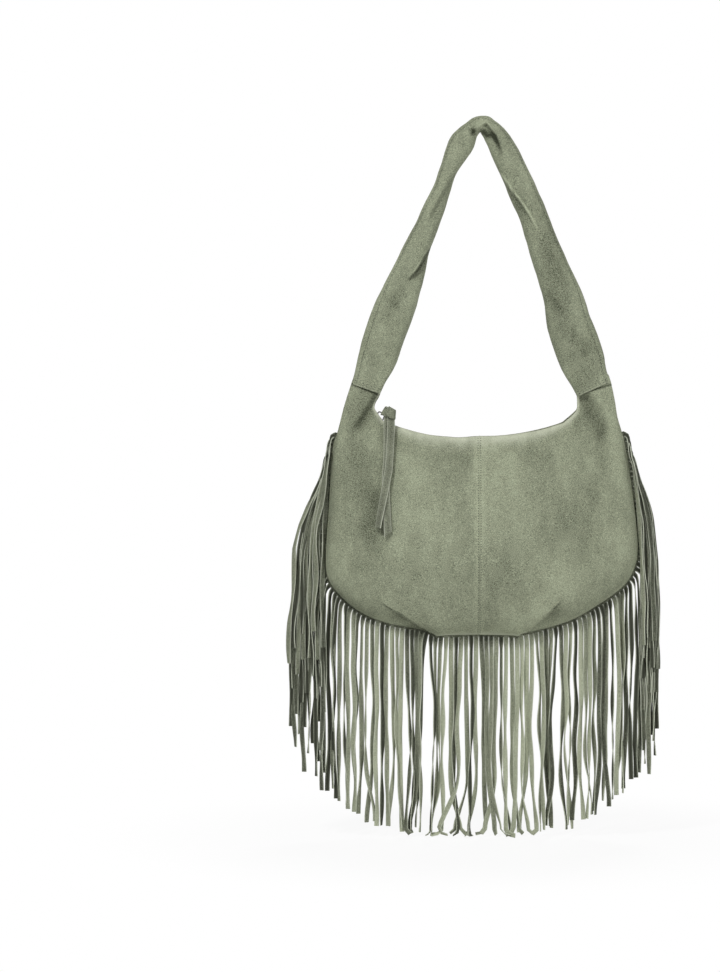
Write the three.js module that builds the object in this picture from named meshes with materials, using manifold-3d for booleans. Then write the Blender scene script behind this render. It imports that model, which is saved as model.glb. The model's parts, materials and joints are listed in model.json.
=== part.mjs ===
// A fringed suede shoulder bag, hanging from its strap as it would from a hook or a shoulder.
// Millimetres, +Z up, the front faces -Y. The origin is the point under the strap's top bend that
// carries the bag's weight.
//
// Two front panels and two back panels are sewn together down the middle and round the sides and
// bottom, with lengths of cut fringe caught in that seam. Their upper corners run up into two ears,
// which are pushed into the ends of a hollow strap. A zip along an arc closes the mouth.
import * as THREE from "three";
import { mergeVertices } from "three/addons/utils/BufferGeometryUtils.js";
import Module from "manifold-3d";

const wasm = await Module();
wasm.setup();

// Driving dimensions
const SUEDE = 1.4; // thickness of the panels, the strap and the thong
const LINING = 0.7;
const SEWN_GAP = 0.4; // between pieces that a seam holds together
const BODY_HALF_DEPTH = 38; // at the fullest place, from the zip's plane to the front
const BODY_BOTTOM = -599;
const ZIP_CENTRE_Z = -64; // centre of the arc that the zip follows
const ZIP_RADIUS = 304.5; // middle of the zip's teeth
const ZIP_END_DEG = 25.2; // the teeth end here on both sides
const SLIDER_DEG = -23.3; // the slider's place when the zip is shut
const MOUTH_HALF_WIDTH = 9; // from the zip's middle to each panel's top edge
const EDGE_ABOVE_ZIP = 4.5; // the panels' top edges stand this far above the teeth
const STRAP_WALL = SUEDE;
const FRINGE_LENGTH = 240; // of a strip, below the seam
const STRIP_WIDTH = 5.4;
const STRIP_PITCH = 6;
const FRINGE_THICK = 1.3;
const FRINGE_TOP = -362; // the fringe starts at this height on both sides

// Where the right-hand half's edges run, as X and Z. The left half is its mirror image.
const SEAM_POINTS = [
  [0, BODY_BOTTOM], [47, -597], [105, -586], [146, -566], [173, -541], [184.5, -508],
  [184.5, -470], [179, -405], [168, -352], [159.2, -301.7], [153.5, -288.8],
];
const EAR_POINTS = [[127.5, -329], [119.8, -315.9], [115.9, -302.4]];

// The strap's middle line on the right, from the top bend to its end, with its half width and half
// thickness there: it is wide and flat over the ear, and folded narrow towards the top.
const STRAP_STATIONS = [
  { x: 0, z: 11, wide: 10.8, thick: 11 },
  { x: 19.5, z: -2, wide: 12.5, thick: 10 },
  { x: 38.5, z: -43, wide: 14, thick: 9 },
  { x: 57.5, z: -91, wide: 14.8, thick: 8.4 },
  { x: 77.5, z: -139, wide: 17.5, thick: 7.4 },
  { x: 95, z: -187, wide: 21, thick: 6.2 },
  { x: 112, z: -235, wide: 24, thick: 5.4 },
  { x: 129, z: -281, wide: 24.5, thick: 5.4 },
  { x: 139.5, z: -308.8, wide: 24.5, thick: 5.4 },
];

// Colours, as the suede, the lining, the zip and its metal look.
const suede = new THREE.MeshStandardMaterial({ color: 0x8d927d, roughness: 0.95, metalness: 0 });
const cutSuede = new THREE.MeshStandardMaterial({ color: 0x878c78, roughness: 0.95, metalness: 0 });
const cotton = new THREE.MeshStandardMaterial({ color: 0x55584a, roughness: 0.9, metalness: 0 });
const tapeCloth = new THREE.MeshStandardMaterial({ color: 0x6d7261, roughness: 0.9, metalness: 0 });
const nylon = new THREE.MeshStandardMaterial({ color: 0x5f6455, roughness: 0.5, metalness: 0 });
const gunmetal = new THREE.MeshStandardMaterial({ color: 0x3a3a3c, roughness: 0.3, metalness: 1 });

const bag = new THREE.Group();

function add(name, geometry, material, parent = bag) {
  const mesh = new THREE.Mesh(geometry, material);
  mesh.name = name;
  parent.add(mesh);
  return mesh;
}

// Closed meshes from rows of points

// A geometry from points and triangles, turned so that its faces point out.
function closedMesh(points, triangles) {
  let volume = 0;
  for (const [a, b, c] of triangles) {
    volume += points[a].dot(new THREE.Vector3().crossVectors(points[b], points[c]));
  }
  const index = volume < 0 ? triangles.map(([a, b, c]) => [a, c, b]) : triangles;
  const geometry = new THREE.BufferGeometry().setFromPoints(points);
  geometry.setIndex(index.flat());
  geometry.computeVertexNormals();
  return geometry;
}

function quad(a, b, c, d) {
  return [[a, b, c], [a, c, d]];
}

// A solid through rings of points, one ring after another, with its first and last rings filled.
function loft(rings) {
  const n = rings[0].length;
  const triangles = [];
  for (let i = 0; i + 1 < rings.length; i++) {
    for (let j = 0; j < n; j++) {
      const k = (j + 1) % n;
      triangles.push(...quad(i * n + j, i * n + k, (i + 1) * n + k, (i + 1) * n + j));
    }
  }
  const last = (rings.length - 1) * n;
  for (let j = 1; j + 1 < n; j++) {
    triangles.push([0, j + 1, j], [last, last + j, last + j + 1]);
  }
  return closedMesh(rings.flat(), triangles);
}

// A sheet between two grids of points, [row][column], closed all round its rim.
function sheet(outer, inner) {
  const rows = outer.length;
  const columns = outer[0].length;
  const points = [...outer.flat(), ...inner.flat()];
  const o = (i, j) => i * columns + j;
  const n = (i, j) => rows * columns + i * columns + j;
  const triangles = [];
  for (let i = 0; i + 1 < rows; i++) {
    for (let j = 0; j + 1 < columns; j++) {
      triangles.push(...quad(o(i, j), o(i, j + 1), o(i + 1, j + 1), o(i + 1, j)));
      triangles.push(...quad(n(i, j), n(i + 1, j), n(i + 1, j + 1), n(i, j + 1)));
    }
    triangles.push(...quad(o(i, 0), o(i + 1, 0), n(i + 1, 0), n(i, 0)));
    const j = columns - 1;
    triangles.push(...quad(o(i, j), n(i, j), n(i + 1, j), o(i + 1, j)));
  }
  for (let j = 0; j + 1 < columns; j++) {
    triangles.push(...quad(o(0, j), n(0, j), n(0, j + 1), o(0, j + 1)));
    const i = rows - 1;
    triangles.push(...quad(o(i, j), o(i, j + 1), n(i, j + 1), n(i, j)));
  }
  return closedMesh(points, triangles);
}

// A tube with a hollow bore, open at both ends.
function pipe(outerRings, innerRings) {
  const rows = outerRings.length;
  const n = outerRings[0].length;
  const points = [...outerRings.flat(), ...innerRings.flat()];
  const o = (i, j) => i * n + (j % n);
  const b = (i, j) => (rows + i) * n + (j % n);
  const triangles = [];
  for (let j = 0; j < n; j++) {
    for (let i = 0; i + 1 < rows; i++) {
      triangles.push(...quad(o(i, j), o(i, j + 1), o(i + 1, j + 1), o(i + 1, j)));
      triangles.push(...quad(b(i, j), b(i + 1, j), b(i + 1, j + 1), b(i, j + 1)));
    }
    const last = rows - 1;
    triangles.push(...quad(o(0, j), b(0, j), b(0, j + 1), o(0, j + 1)));
    triangles.push(...quad(o(last, j), o(last, j + 1), b(last, j + 1), b(last, j)));
  }
  return closedMesh(points, triangles);
}

// Joining of overlapping closed meshes into one

function solidOf(geometry) {
  const bare = geometry.clone();
  bare.deleteAttribute("normal");
  bare.deleteAttribute("uv");
  const merged = mergeVertices(bare, 1e-4);
  return new wasm.Manifold(
    new wasm.Mesh({
      numProp: 3,
      vertProperties: new Float32Array(merged.attributes.position.array),
      triVerts: new Uint32Array(merged.index.array),
    }),
  );
}

function joined(geometries) {
  const whole = geometries.map(solidOf).reduce((a, b) => a.add(b)).getMesh();
  const geometry = new THREE.BufferGeometry();
  geometry.setAttribute("position", new THREE.BufferAttribute(whole.vertProperties, 3));
  geometry.setIndex(new THREE.BufferAttribute(whole.triVerts, 1));
  return geometry;
}

// A box between two corners.
function block(low, high) {
  const size = high.map((v, k) => v - low[k]);
  const middle = high.map((v, k) => (v + low[k]) / 2);
  return new THREE.BoxGeometry(...size).translate(...middle);
}

// The shape of the body
//
// The right half is spanned by two edges. "along" runs from the centre seam, 0, to the top of the
// ear, 1. "across" runs from the top edge, 0, to the sewn seam, 1.

const seamCurve = new THREE.SplineCurve(SEAM_POINTS.map(([x, z]) => new THREE.Vector2(x, z)));

const edgeRadius = ZIP_RADIUS - EDGE_ABOVE_ZIP;
const topEdge = new THREE.CurvePath();
topEdge.add(
  new THREE.EllipseCurve(
    0, ZIP_CENTRE_Z, edgeRadius, edgeRadius,
    -Math.PI / 2, -Math.PI / 2 + THREE.MathUtils.degToRad(ZIP_END_DEG),
  ),
);
topEdge.add(
  new THREE.SplineCurve([
    topEdge.curves[0].getPoint(1),
    ...EAR_POINTS.map(([x, z]) => new THREE.Vector2(x, z)),
  ]),
);

// A value that follows a list of [place, value] pairs, eased or straight between them.
function follow(pairs, place, step = THREE.MathUtils.smoothstep) {
  const next = pairs.findIndex(([p]) => p >= place);
  if (next <= 0) return pairs[next < 0 ? pairs.length - 1 : 0][1];
  const [p0, v0] = pairs[next - 1];
  const [p1, v1] = pairs[next];
  return v0 + (v1 - v0) * step(place, p0, p1);
}

// Half the depth of the body at its fullest and at its top edge, from the centre seam to the ear.
const FULL_DEPTH = [
  [0, BODY_HALF_DEPTH], [0.36, 35], [0.56, 27], [0.72, 17], [0.82, 9], [0.91, 3.3], [1, 3],
];
const TOP_DEPTH = [[0, MOUTH_HALF_WIDTH], [0.64, MOUTH_HALF_WIDTH], [0.78, 6.4], [0.84, 2], [1, 2]];
const FULLEST = 0.58; // across, where the body is deepest
const TOP_SWELL = 0.9; // how soon the front swells below its top edge: smaller is sooner
const SEAM_SWELL = 2.5; // how near the seam it stays full: greater is nearer
const SEAM_CLEAR = FRINGE_THICK / 2 + SEWN_GAP; // the panels keep this far from the seam's plane
const SEAM_DEPTH = [[0, SEAM_CLEAR], [0.8, SEAM_CLEAR], [0.88, 2], [1, 2]];

function depth(along, across) {
  const full = follow(FULL_DEPTH, along);
  const top = follow(TOP_DEPTH, along);
  if (across < FULLEST) {
    return top + (full - top) * Math.sin((Math.PI / 2) * (across / FULLEST)) ** TOP_SWELL;
  }
  const fall = (across - FULLEST) / (1 - FULLEST);
  const seam = follow(SEAM_DEPTH, along);
  return seam + (full - seam) * Math.sqrt(Math.max(0, 1 - fall ** SEAM_SWELL));
}

// A point of the front's outer face.
function frontPoint(along, across) {
  const flat = topEdge.getPoint(along).lerp(seamCurve.getPointAt(along), across);
  return new THREE.Vector3(flat.x, -depth(along, across), flat.y);
}

const NUDGE = 1e-3;
const STEEP_EDGE = 5e-3; // the slope at the seam is read this far from it

function frontNormal(along, across) {
  const a = THREE.MathUtils.clamp(along, NUDGE, 1 - NUDGE);
  const c = THREE.MathUtils.clamp(across, NUDGE, 1 - STEEP_EDGE);
  const da = frontPoint(a + NUDGE, c).sub(frontPoint(a - NUDGE, c));
  const dc = frontPoint(a, c + NUDGE).sub(frontPoint(a, c - NUDGE));
  const normal = da.cross(dc).normalize();
  return normal.y > 0 ? normal.negate() : normal;
}

// A sheet of the front between two depths below its outer face, over a grid of places.
function frontSheet(alongs, acrosses, outside, inside) {
  const under = (along, across, by) => {
    const point = frontPoint(Math.abs(along), across);
    const normal = frontNormal(Math.abs(along), across);
    if (along === 0) normal.setX(0).normalize();
    point.addScaledVector(normal, -by);
    point.setY(Math.min(point.y, -SEAM_CLEAR)); // pared thin where it is sewn
    if (along < 0) point.setX(-point.x);
    return point;
  };
  const grid = (by) => alongs.map((a) => acrosses.map((c) => under(a, c, by)));
  return sheet(grid(outside), grid(inside));
}

// Turns a sheet of the right-hand front into its left or back twin.
function mirrored(geometry, x, y) {
  const twin = geometry.clone().scale(x, y, 1);
  if (x * y < 0) {
    const index = twin.getIndex();
    for (let i = 0; i < index.count; i += 3) {
      const b = index.getX(i + 1);
      index.setX(i + 1, index.getX(i + 2));
      index.setX(i + 2, b);
    }
  }
  twin.computeVertexNormals();
  return twin;
}

// The four suede panels

const PANEL_ALONG = [0, 0.1, 0.2, 0.3, 0.4, 0.5, 0.58, 0.66, 0.73, 0.78, 0.82, 0.86, 0.91, 0.955, 1];
const PANEL_ACROSS = [0, 0.05, 0.14, 0.28, 0.44, 0.6, 0.74, 0.85, 0.93, 0.98, 1];

const rightFront = frontSheet(PANEL_ALONG, PANEL_ACROSS, 0, SUEDE);
rightFront.translate(SEWN_GAP / 2, 0, 0);
for (const [face, y] of [["front", 1], ["back", -1]]) {
  add(`${face}_panel_right`, mirrored(rightFront, 1, y), suede);
  add(`${face}_panel_left`, mirrored(rightFront, -1, y), suede);
}

// The lining, one sheet behind the front and one before the back, a little short of the seam

const LINING_ALONG = [0.7, 0.56, 0.42, 0.28, 0.14, 0, -0.14, -0.28, -0.42, -0.56, -0.7];
const LINING_ACROSS = [0.08, 0.2, 0.36, 0.52, 0.68, 0.82, 0.91];
const LINING_BELOW = 3;

const frontLining = frontSheet(LINING_ALONG, LINING_ACROSS, LINING_BELOW, LINING_BELOW + LINING);
add("lining_front", frontLining, cotton);
add("lining_back", mirrored(frontLining, 1, -1), cotton);

// The strap: one strip of suede folded into a flat tube

const strapStations = [
  ...STRAP_STATIONS.slice(1).reverse().map((s) => ({ ...s, x: -s.x })),
  ...STRAP_STATIONS,
];
const strapLine = new THREE.SplineCurve(strapStations.map(({ x, z }) => new THREE.Vector2(x, z)));
const STRAP_STEPS = 26;
const STRAP_SIDES = 12;
const STRAP_ROUNDNESS = 2 / 3; // 1 is an ellipse, and smaller is flatter with rounder edges

function strapRing(share, wall) {
  const place = share * (strapStations.length - 1);
  const here = Math.min(Math.floor(place), strapStations.length - 2);
  const size = (key) =>
    THREE.MathUtils.lerp(strapStations[here][key], strapStations[here + 1][key], place - here) - wall;
  const centre = strapLine.getPoint(share);
  const tangent = strapLine.getTangent(share);
  const power = (v) => Math.sign(v) * Math.abs(v) ** STRAP_ROUNDNESS;
  return Array.from({ length: STRAP_SIDES }, (_, k) => {
    const turn = (2 * Math.PI * (k + 0.5)) / STRAP_SIDES;
    const wide = size("wide") * power(Math.cos(turn));
    const thick = size("thick") * power(Math.sin(turn));
    return new THREE.Vector3(centre.x - tangent.y * wide, thick, centre.y + tangent.x * wide);
  });
}

const strapShares = Array.from({ length: STRAP_STEPS + 1 }, (_, i) => i / STRAP_STEPS);
add(
  "shoulder_strap",
  pipe(
    strapShares.map((s) => strapRing(s, 0)),
    strapShares.map((s) => strapRing(s, STRAP_WALL)),
  ),
  suede,
);

// The zip, along its arc. A zip angle is 0 at the bag's middle and positive to the right.

const COIL_WIDTH = 2.2;
const COIL_HEIGHT = 2.4;
const COIL_GAP = 1; // between the two rows of teeth, where the slider's web passes
const TAPE_THICK = 0.6;
const TAPE_HALF_WIDTH = 8.8;
const TAPE_END_HALF_WIDTH = 3.4; // squeezed where the tape goes into the ears
const TAPE_NARROWS_DEG = 16;
const TAPE_SEGMENTS = 20;
const TAPE_RADIUS = ZIP_RADIUS + COIL_HEIGHT / 2 + SEWN_GAP; // the tape's upper face, under the teeth

function onArc(degrees, radius, y) {
  const turn = THREE.MathUtils.degToRad(degrees);
  return new THREE.Vector3(radius * Math.sin(turn), y, ZIP_CENTRE_Z - radius * Math.cos(turn));
}

// A bar of rectangular section along the arc. sides(angle) gives its near and far edge from the middle.
function arcBar(fromDeg, toDeg, lowRadius, highRadius, sides, segments) {
  return loft(
    Array.from({ length: segments + 1 }, (_, i) => {
      const angle = THREE.MathUtils.lerp(fromDeg, toDeg, i / segments);
      const [near, far] = sides(angle);
      return [
        onArc(angle, lowRadius, near), onArc(angle, lowRadius, far),
        onArc(angle, highRadius, far), onArc(angle, highRadius, near),
      ];
    }),
  );
}

const tapeEdge = (angle) =>
  THREE.MathUtils.mapLinear(
    Math.max(Math.abs(angle), TAPE_NARROWS_DEG), TAPE_NARROWS_DEG, ZIP_END_DEG,
    TAPE_HALF_WIDTH, TAPE_END_HALF_WIDTH,
  );
const STOP_DEG = 0.5; // angle that a stop takes at each end of the teeth
const coilEnd = ZIP_END_DEG - STOP_DEG;

for (const [face, side] of [["front", -1], ["back", 1]]) {
  add(
    `zip_tape_${face}`,
    arcBar(
      -ZIP_END_DEG, ZIP_END_DEG, TAPE_RADIUS, TAPE_RADIUS + TAPE_THICK,
      (angle) => [side * (COIL_GAP / 2), side * tapeEdge(angle)], TAPE_SEGMENTS,
    ),
    tapeCloth,
  );
  add(
    `zip_teeth_${face}`,
    arcBar(
      -coilEnd, coilEnd, ZIP_RADIUS - COIL_HEIGHT / 2, ZIP_RADIUS + COIL_HEIGHT / 2,
      () => [side * (COIL_GAP / 2), side * (COIL_GAP / 2 + COIL_WIDTH)], TAPE_SEGMENTS,
    ),
    nylon,
  );
}

// The stops: a clip on each row where the zip shuts, and one across both rows where it opens.
const STOP_GAP_DEG = 0.08;
function zipStop(fromDeg, toDeg, near, far) {
  return arcBar(
    fromDeg, toDeg, ZIP_RADIUS - COIL_HEIGHT / 2, ZIP_RADIUS + COIL_HEIGHT / 2, () => [near, far], 1,
  );
}
const coilFar = COIL_GAP / 2 + COIL_WIDTH;
const shutFrom = -ZIP_END_DEG;
const shutTo = -coilEnd - STOP_GAP_DEG;
add("zip_top_stop_front", zipStop(shutFrom, shutTo, -COIL_GAP / 2, -coilFar), gunmetal);
add("zip_top_stop_back", zipStop(shutFrom, shutTo, COIL_GAP / 2, coilFar), gunmetal);
add("zip_bottom_stop", zipStop(coilEnd + STOP_GAP_DEG, ZIP_END_DEG, -coilFar, coilFar), gunmetal);

// The slider: two plates joined by a web, lips down the sides, and a bail over the top.
// It is drawn with X along the zip and Z out of the bag, from the middle of the teeth.

const RUNNING_GAP = 0.35;
const SLIDER_LENGTH = 10;
const SLIDER_HALF_WIDTH = 4.2;
const PLATE = 1;
const WEB_HALF_WIDTH = 0.2;
const plateUnder = COIL_HEIGHT / 2 + RUNNING_GAP; // underside of the upper plate
const lowerTop = -(COIL_HEIGHT / 2 + SEWN_GAP + TAPE_THICK + RUNNING_GAP);
const lipBottom = -COIL_HEIGHT / 2 + RUNNING_GAP; // the lips stop above the tape
const BAIL_LENGTH = 10.4;
const BAIL_RADIUS = 0.85;
const BAIL_HEIGHT = 7.5; // from the upper plate to the middle of the bail's bar
const BAIL_CORNER = 2.4; // radius of its two bends
const bailBar = plateUnder + PLATE + BAIL_HEIGHT;

// A straight bar along the zip, with rounded ends turned down into the slider's plate.
function bail() {
  const half = BAIL_LENGTH / 2 - BAIL_RADIUS;
  const foot = plateUnder + PLATE / 2;
  const path = new THREE.CurvePath();
  const at = (x, z) => new THREE.Vector3(x, 0, z);
  path.add(new THREE.LineCurve3(at(-half, foot), at(-half, bailBar - BAIL_CORNER)));
  path.add(
    new THREE.QuadraticBezierCurve3(
      at(-half, bailBar - BAIL_CORNER), at(-half, bailBar), at(BAIL_CORNER - half, bailBar),
    ),
  );
  path.add(new THREE.LineCurve3(at(BAIL_CORNER - half, bailBar), at(half - BAIL_CORNER, bailBar)));
  path.add(
    new THREE.QuadraticBezierCurve3(
      at(half - BAIL_CORNER, bailBar), at(half, bailBar), at(half, bailBar - BAIL_CORNER),
    ),
  );
  path.add(new THREE.LineCurve3(at(half, bailBar - BAIL_CORNER), at(half, foot)));
  const section = new THREE.Shape().absarc(0, 0, BAIL_RADIUS, 0, 2 * Math.PI);
  return new THREE.ExtrudeGeometry(section, {
    extrudePath: path, steps: 18, curveSegments: 4, bevelEnabled: false,
  });
}

const halfLength = SLIDER_LENGTH / 2;
const LIP_INSIDE = coilFar + RUNNING_GAP;
const WEB_LENGTH = 2.5;
const inUpperPlate = plateUnder + PLATE / 2;
const inLowerPlate = lowerTop - PLATE / 2;

// A plate, lip or web from y0 to y1 and z0 to z1, as long as the slider or up to x1.
function sliderBlock(y0, y1, z0, z1, x1 = halfLength) {
  return block([-halfLength, y0, z0], [x1, y1, z1]);
}

const sliderLocal = joined([
  sliderBlock(-SLIDER_HALF_WIDTH, SLIDER_HALF_WIDTH, plateUnder, plateUnder + PLATE),
  sliderBlock(-SLIDER_HALF_WIDTH, SLIDER_HALF_WIDTH, lowerTop - PLATE, lowerTop),
  sliderBlock(-WEB_HALF_WIDTH, WEB_HALF_WIDTH, inLowerPlate, inUpperPlate, WEB_LENGTH - halfLength),
  sliderBlock(-SLIDER_HALF_WIDTH, -LIP_INSIDE, lipBottom, inUpperPlate),
  sliderBlock(LIP_INSIDE, SLIDER_HALF_WIDTH, lipBottom, inUpperPlate),
  bail(),
]);

const atSlider = new THREE.Matrix4()
  .makeTranslation(0, 0, ZIP_CENTRE_Z)
  .multiply(new THREE.Matrix4().makeRotationY(THREE.MathUtils.degToRad(-SLIDER_DEG)))
  .multiply(new THREE.Matrix4().makeTranslation(0, 0, -ZIP_RADIUS));
add("zip_slider", sliderLocal.applyMatrix4(atSlider), gunmetal);

// The pull: a suede thong looped round the bail's bar, knotted over the front's top edge, with two
// tails that hang before the front. The tails keep clear of the front wherever the slider goes.

const THONG_WIDTH = 8.5;
const LOOP_SLACK = 0.45; // between the bail's bar and the loop round it
const LOOP_BORE = BAIL_RADIUS + LOOP_SLACK;
const LOOP_OUTSIDE = LOOP_BORE + SUEDE;
const LOOP_LENGTH = 4.4; // along the bail
const TAIL_CLEARANCE = 1.6;
const TAIL_GAP = 0.2; // where one tail crosses before the other
const KNOT = { x: -107.5, y: -18.4, z: -334, wide: 16, deep: 9.5, tall: 16 };
const TAILS = [
  { x: [-107, -107.5, -112, -119], end: -475, before: SUEDE + TAIL_GAP },
  { x: [-110.4, -110.4, -109.8, -109], end: -484, before: 0 },
];
const TAIL_SEGMENTS = 9;

// The deepest that the front is, at a distance from the centre of the zip's arc.
const frontSamples = [];
for (let along = 0; along <= 0.9; along += 0.03) {
  for (let across = 0; across <= 1; across += 0.02) {
    const p = frontPoint(along, across);
    frontSamples.push({ radius: Math.hypot(p.x, p.z - ZIP_CENTRE_Z), deep: -p.y });
  }
}
const SAMPLE_REACH = 9;
function clearDepth(radius) {
  const near = frontSamples.filter((s) => Math.abs(s.radius - radius) < SAMPLE_REACH);
  return Math.max(...near.map((s) => s.deep)) + TAIL_CLEARANCE;
}

function thongTail({ x, end, before }) {
  const line = new THREE.CatmullRomCurve3(
    x.map((v, i) => new THREE.Vector3(v, 0, THREE.MathUtils.lerp(KNOT.z, end, i / (x.length - 1)))),
  );
  const rings = Array.from({ length: TAIL_SEGMENTS + 1 }, (_, i) => {
    const p = line.getPoint(i / TAIL_SEGMENTS);
    const near = clearDepth(Math.hypot(p.x, p.z - ZIP_CENTRE_Z)) + before;
    const half = THONG_WIDTH / 2;
    return [
      new THREE.Vector3(p.x - half, -near, p.z), new THREE.Vector3(p.x + half, -near, p.z),
      new THREE.Vector3(p.x + half, -near - SUEDE, p.z), new THREE.Vector3(p.x - half, -near - SUEDE, p.z),
    ];
  });
  return loft(rings);
}

// The loop round the bar, with its bore along the zip.
const loopShape = new THREE.Shape().absarc(0, 0, LOOP_OUTSIDE, 0, 2 * Math.PI);
loopShape.holes.push(new THREE.Path().absarc(0, 0, LOOP_BORE, 0, 2 * Math.PI, true));
const loop = new THREE.ExtrudeGeometry(loopShape, {
  depth: LOOP_LENGTH, curveSegments: 7, bevelEnabled: false,
})
  .translate(0, 0, -LOOP_LENGTH / 2)
  .rotateY(Math.PI / 2)
  .translate(0, 0, bailBar);

// The two turns of thong from the loop to the knot, over the panel's top edge.
const NECK_REACH = 10; // along the zip, towards the knot
const neck = block(
  [-LOOP_LENGTH / 2, KNOT.y, bailBar + LOOP_BORE],
  [NECK_REACH, 0, bailBar + LOOP_OUTSIDE],
);
const knot = new THREE.SphereGeometry(0.5, 10, 7)
  .scale(KNOT.wide, KNOT.deep, KNOT.tall)
  .translate(KNOT.x, KNOT.y, KNOT.z);

add(
  "zip_pull_thong",
  joined([loop.applyMatrix4(atSlider), neck.applyMatrix4(atSlider), knot, ...TAILS.map(thongTail)]),
  cutSuede,
);

// The fringe: strips cut down from an uncut heading, which the seam holds

const HEADING_INSIDE = 6; // of the heading, inside the seam
const HEADING_OUTSIDE = 3;
const HEADING_STEP = 12; // length of heading between two of its sections
const BENT_SLOPE = 0.28; // where the seam is steeper than this, strips first run out, then hang
const STRIP_NEAR = 1.8; // a bent strip hangs this far from the seam's plane, before it or behind it

// Where a bent strip hangs, as X by the height where it starts: lower strips pass over those that
// hang from above them, as far as the body's widest place.
const HANG_X = [[-586, 108], [-566, 158], [-540, 205], [-511, 231], [FRINGE_TOP, 188]];
const straight = THREE.MathUtils.inverseLerp;

const seamLength = seamCurve.getLength();

// The place on the right-hand seam at a distance from the bag's bottom middle.
function onSeam(distance) {
  const share = distance / seamLength;
  const p = seamCurve.getPointAt(share);
  const t = seamCurve.getTangentAt(share);
  return { x: p.x, z: p.y, out: new THREE.Vector2(t.y, -t.x), slope: Math.abs(t.y) };
}

function fringeEnd() {
  let distance = seamLength / 2;
  while (onSeam(distance).z < FRINGE_TOP) distance += 1;
  return distance;
}
const fringeReach = fringeEnd();
const stripsPerHalf = Math.floor(fringeReach / STRIP_PITCH);
const BOTTOM_STRIPS = 29; // of each half: these hang from the bottom length, and the rest from the side's

// The heading between two distances along the seam. A negative distance is left of the middle.
function heading(from, to) {
  const count = Math.ceil((to - from) / HEADING_STEP);
  return loft(
    Array.from({ length: count + 1 }, (_, i) => {
      const distance = THREE.MathUtils.lerp(from, to, i / count);
      const { x, z, out } = onSeam(Math.abs(distance));
      const side = distance < 0 ? -1 : 1;
      const half = FRINGE_THICK / 2;
      const at = (by, y) => new THREE.Vector3(side * (x + out.x * by), y, z + out.y * by);
      return [
        at(-HEADING_INSIDE, -half), at(HEADING_OUTSIDE, -half),
        at(HEADING_OUTSIDE, half), at(-HEADING_INSIDE, half),
      ];
    }),
  );
}

// The blocks of one strip. Bent strips hang before and behind the seam's plane in turn.
function strip(number, side) {
  const { x, z, out, slope } = onSeam((number + 0.5) * STRIP_PITCH);
  const half = FRINGE_THICK / 2;
  const halfWidth = STRIP_WIDTH / 2;
  const rootX = x + out.x * (HEADING_OUTSIDE - half);
  const rootZ = z + out.y * (HEADING_OUTSIDE - half);
  const end = z - FRINGE_LENGTH;
  const placed = (x0, x1, y0, y1, z0, z1) =>
    block([Math.min(side * x0, side * x1), y0, z0], [Math.max(side * x0, side * x1), y1, z1]);
  if (slope < BENT_SLOPE) {
    return [placed(rootX - halfWidth, rootX + halfWidth, -half, half, end, rootZ)];
  }
  const hangX = follow(HANG_X, z, (place, p0, p1) => straight(p0, p1, place));
  const front = number % 2 === 0 ? -1 : 1;
  const [near, far] = [front * STRIP_NEAR, front * (STRIP_NEAR + STRIP_WIDTH)].sort((a, b) => a - b);
  const elbow = [Math.min(near, -half), Math.max(far, half)];
  const rise = halfWidth * slope;
  return [
    placed(rootX - half, hangX, -half, half, rootZ - rise, rootZ + rise),
    placed(hangX - half, hangX + half, elbow[0], elbow[1], rootZ - rise, rootZ + rise),
    placed(hangX - half, hangX + half, near, far, end, rootZ),
  ];
}

const numbers = Array.from({ length: stripsPerHalf }, (_, i) => i);
const bottomNumbers = numbers.slice(0, BOTTOM_STRIPS);
const sideNumbers = numbers.slice(BOTTOM_STRIPS);
const bottomReach = BOTTOM_STRIPS * STRIP_PITCH - SEWN_GAP / 2;
const sideFrom = BOTTOM_STRIPS * STRIP_PITCH + SEWN_GAP / 2;
const sideTo = stripsPerHalf * STRIP_PITCH;

add(
  "fringe_bottom",
  joined([
    heading(-bottomReach, bottomReach),
    ...bottomNumbers.flatMap((n) => [...strip(n, 1), ...strip(n, -1)]),
  ]),
  cutSuede,
);
add(
  "fringe_side_right",
  joined([heading(sideFrom, sideTo), ...sideNumbers.flatMap((n) => strip(n, 1))]),
  cutSuede,
);
add(
  "fringe_side_left",
  joined([heading(-sideTo, -sideFrom), ...sideNumbers.flatMap((n) => strip(n, -1))]),
  cutSuede,
);

export default bag;
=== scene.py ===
import json
import math

import bmesh
import bpy
import numpy as np
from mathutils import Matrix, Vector


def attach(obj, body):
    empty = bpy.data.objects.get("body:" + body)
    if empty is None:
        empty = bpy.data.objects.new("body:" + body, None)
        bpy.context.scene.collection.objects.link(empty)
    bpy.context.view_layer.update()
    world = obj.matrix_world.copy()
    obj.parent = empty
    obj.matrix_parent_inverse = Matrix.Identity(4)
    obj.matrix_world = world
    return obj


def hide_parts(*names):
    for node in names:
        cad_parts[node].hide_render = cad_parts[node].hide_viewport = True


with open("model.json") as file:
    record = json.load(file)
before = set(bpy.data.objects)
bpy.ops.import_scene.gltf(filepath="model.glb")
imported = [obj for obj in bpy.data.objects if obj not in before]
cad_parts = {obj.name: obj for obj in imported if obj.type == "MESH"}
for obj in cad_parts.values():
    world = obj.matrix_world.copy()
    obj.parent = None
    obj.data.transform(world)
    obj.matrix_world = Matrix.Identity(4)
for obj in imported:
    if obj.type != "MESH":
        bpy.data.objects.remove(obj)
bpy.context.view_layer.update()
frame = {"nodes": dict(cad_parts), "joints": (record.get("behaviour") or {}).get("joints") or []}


# The studio: a long lens a little above the bag's middle, a pale paper floor that the fringe just
# reaches, a white surround, and three soft lamps: one at the upper left, a weaker one at the right,
# and one behind for the back.

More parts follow.
